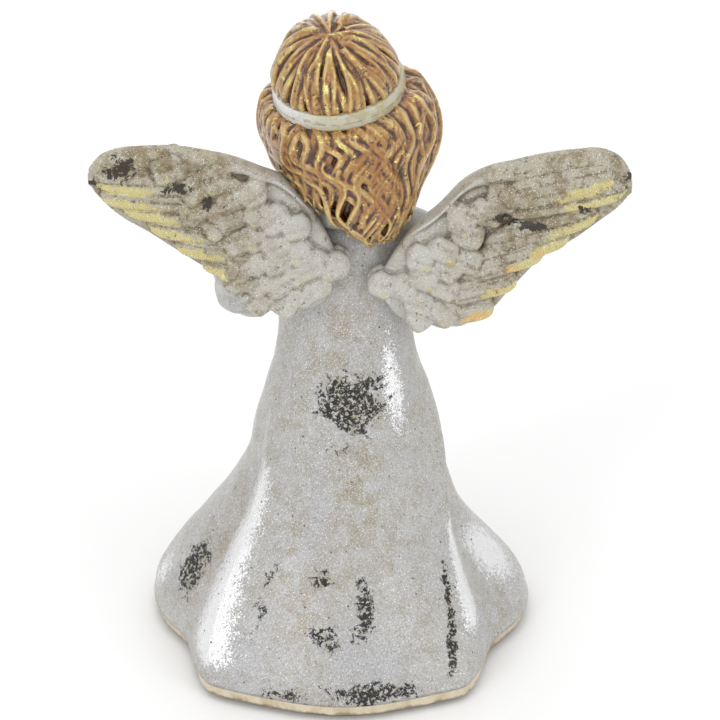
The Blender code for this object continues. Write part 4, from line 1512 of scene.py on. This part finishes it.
def pin_steel():
    look = Finish("pin_steel")
    drawn = look.grain(2.0, 3, 0.6, at=look.stretched((6, 6, 0.4)))
    base = look.mix(colour(176, 176, 178), colour(206, 206, 206), drawn)
    rough = 0.28 + (drawn - 0.5) * 0.25
    return look.set(Base_Color=base, Roughness=rough, Metallic=1.0, Normal=look.bump(drawn, 0.03))


def dowel_resin():
    look = Finish("dowel_resin")
    cloud = look.grain(0.8, 4, 0.6)
    base = look.mix(colour(226, 216, 194), colour(206, 192, 164), cloud)
    return look.set(Base_Color=base, Roughness=0.5 + (cloud - 0.5) * 0.2, Normal=look.bump(cloud, 0.08))


# ---------------------------------------------------------------- the whole figurine


def dress_hidden_pins():
    steel, resin = pin_steel(), dowel_resin()
    for name in (
        "neck_dowel",
        "left_wing_pin_upper",
        "left_wing_pin_lower",
        "right_wing_pin_upper",
        "right_wing_pin_lower",
        "left_arm_dowel",
        "right_arm_dowel",
    ):
        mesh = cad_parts[name].data
        mesh.materials.clear()
        mesh.materials.append(resin if "arm" in name else steel)


def make_figurine():
    robe, feathers, skin = pearl_robe(), feather_pearl(), painted_skin()
    make_robe(robe)
    make_base(cream_base(), green_felt())
    make_collar(robe)
    make_sleeve("left_sleeve", LEFT_ARM, robe)
    make_sleeve("right_sleeve", RIGHT_ARM, robe)
    make_hand("left_hand", 1, skin)
    make_hand("right_hand", -1, skin)
    make_head(skin)
    make_hair(golden_hair())
    make_headband(ivory_ribbon())
    make_wing("left_wing", LEFT_WING, feathers)
    make_wing("right_wing", RIGHT_WING, feathers)
    dress_hidden_pins()


# ---------------------------------------------------------------- floor, lights and camera


def make_floor():
    look = Finish("pale_floor")
    cloud = look.grain(0.01, 2)
    base = look.mix(colour(250, 250, 250), colour(246, 246, 246), cloud)
    bm = bmesh.new()
    bmesh.ops.create_grid(bm, x_segments=1, y_segments=1, size=3.0)
    mesh = mesh_from(bm)
    mesh.materials.append(look.set(Base_Color=base, Roughness=0.6))
    floor = bpy.data.objects.new("floor", mesh)
    bpy.context.scene.collection.objects.link(floor)


def softbox(name, place, target, width, height, power, tint=(1, 1, 1)):
    """A large area light, in mm."""
    light = bpy.data.lights.new(name, "AREA")
    light.shape = "RECTANGLE"
    light.size, light.size_y = width * MM, height * MM
    light.energy = power
    light.color = tint
    obj = bpy.data.objects.new(name, light)
    obj.location = Vector(place) * MM
    obj.rotation_euler = (Vector(target) - Vector(place)).to_track_quat("-Z", "Y").to_euler()
    bpy.context.scene.collection.objects.link(obj)


def light_stage():
    world = bpy.data.worlds.new("studio")
    world.use_nodes = True
    background = world.node_tree.nodes["Background"]
    background.inputs["Color"].default_value = (1, 1, 1, 1)
    background.inputs["Strength"].default_value = 0.85
    bpy.context.scene.world = world
    softbox("key", (420, 520, 420), (0, 0, 60), 260, 420, 0.95)
    softbox("fill", (-520, 420, 330), (0, 0, 60), 260, 420, 0.6)
    softbox("top", (0, 60, 700), (0, 0, 60), 500, 500, 0.7)
    softbox("front", (60, -600, 320), (0, 0, 70), 420, 420, 0.5)
    scene = bpy.context.scene
    scene.view_settings.view_transform = "Standard"
    scene.view_settings.look = "None"


def place_camera():
    camera = bpy.data.cameras.new("camera")
    camera.lens = 119
    camera.sensor_width = 36
    camera.clip_start, camera.clip_end = 0.01, 20
    obj = bpy.data.objects.new("camera", camera)
    obj.location = Vector((-3, 397, 273)) * MM
    aim = Vector((-3, 0, 55.4)) * MM
    obj.rotation_euler = (aim - obj.location).to_track_quat("-Z", "Y").to_euler()
    bpy.context.scene.collection.objects.link(obj)
    bpy.context.scene.camera = obj


make_figurine()
make_floor()
light_stage()
place_camera()
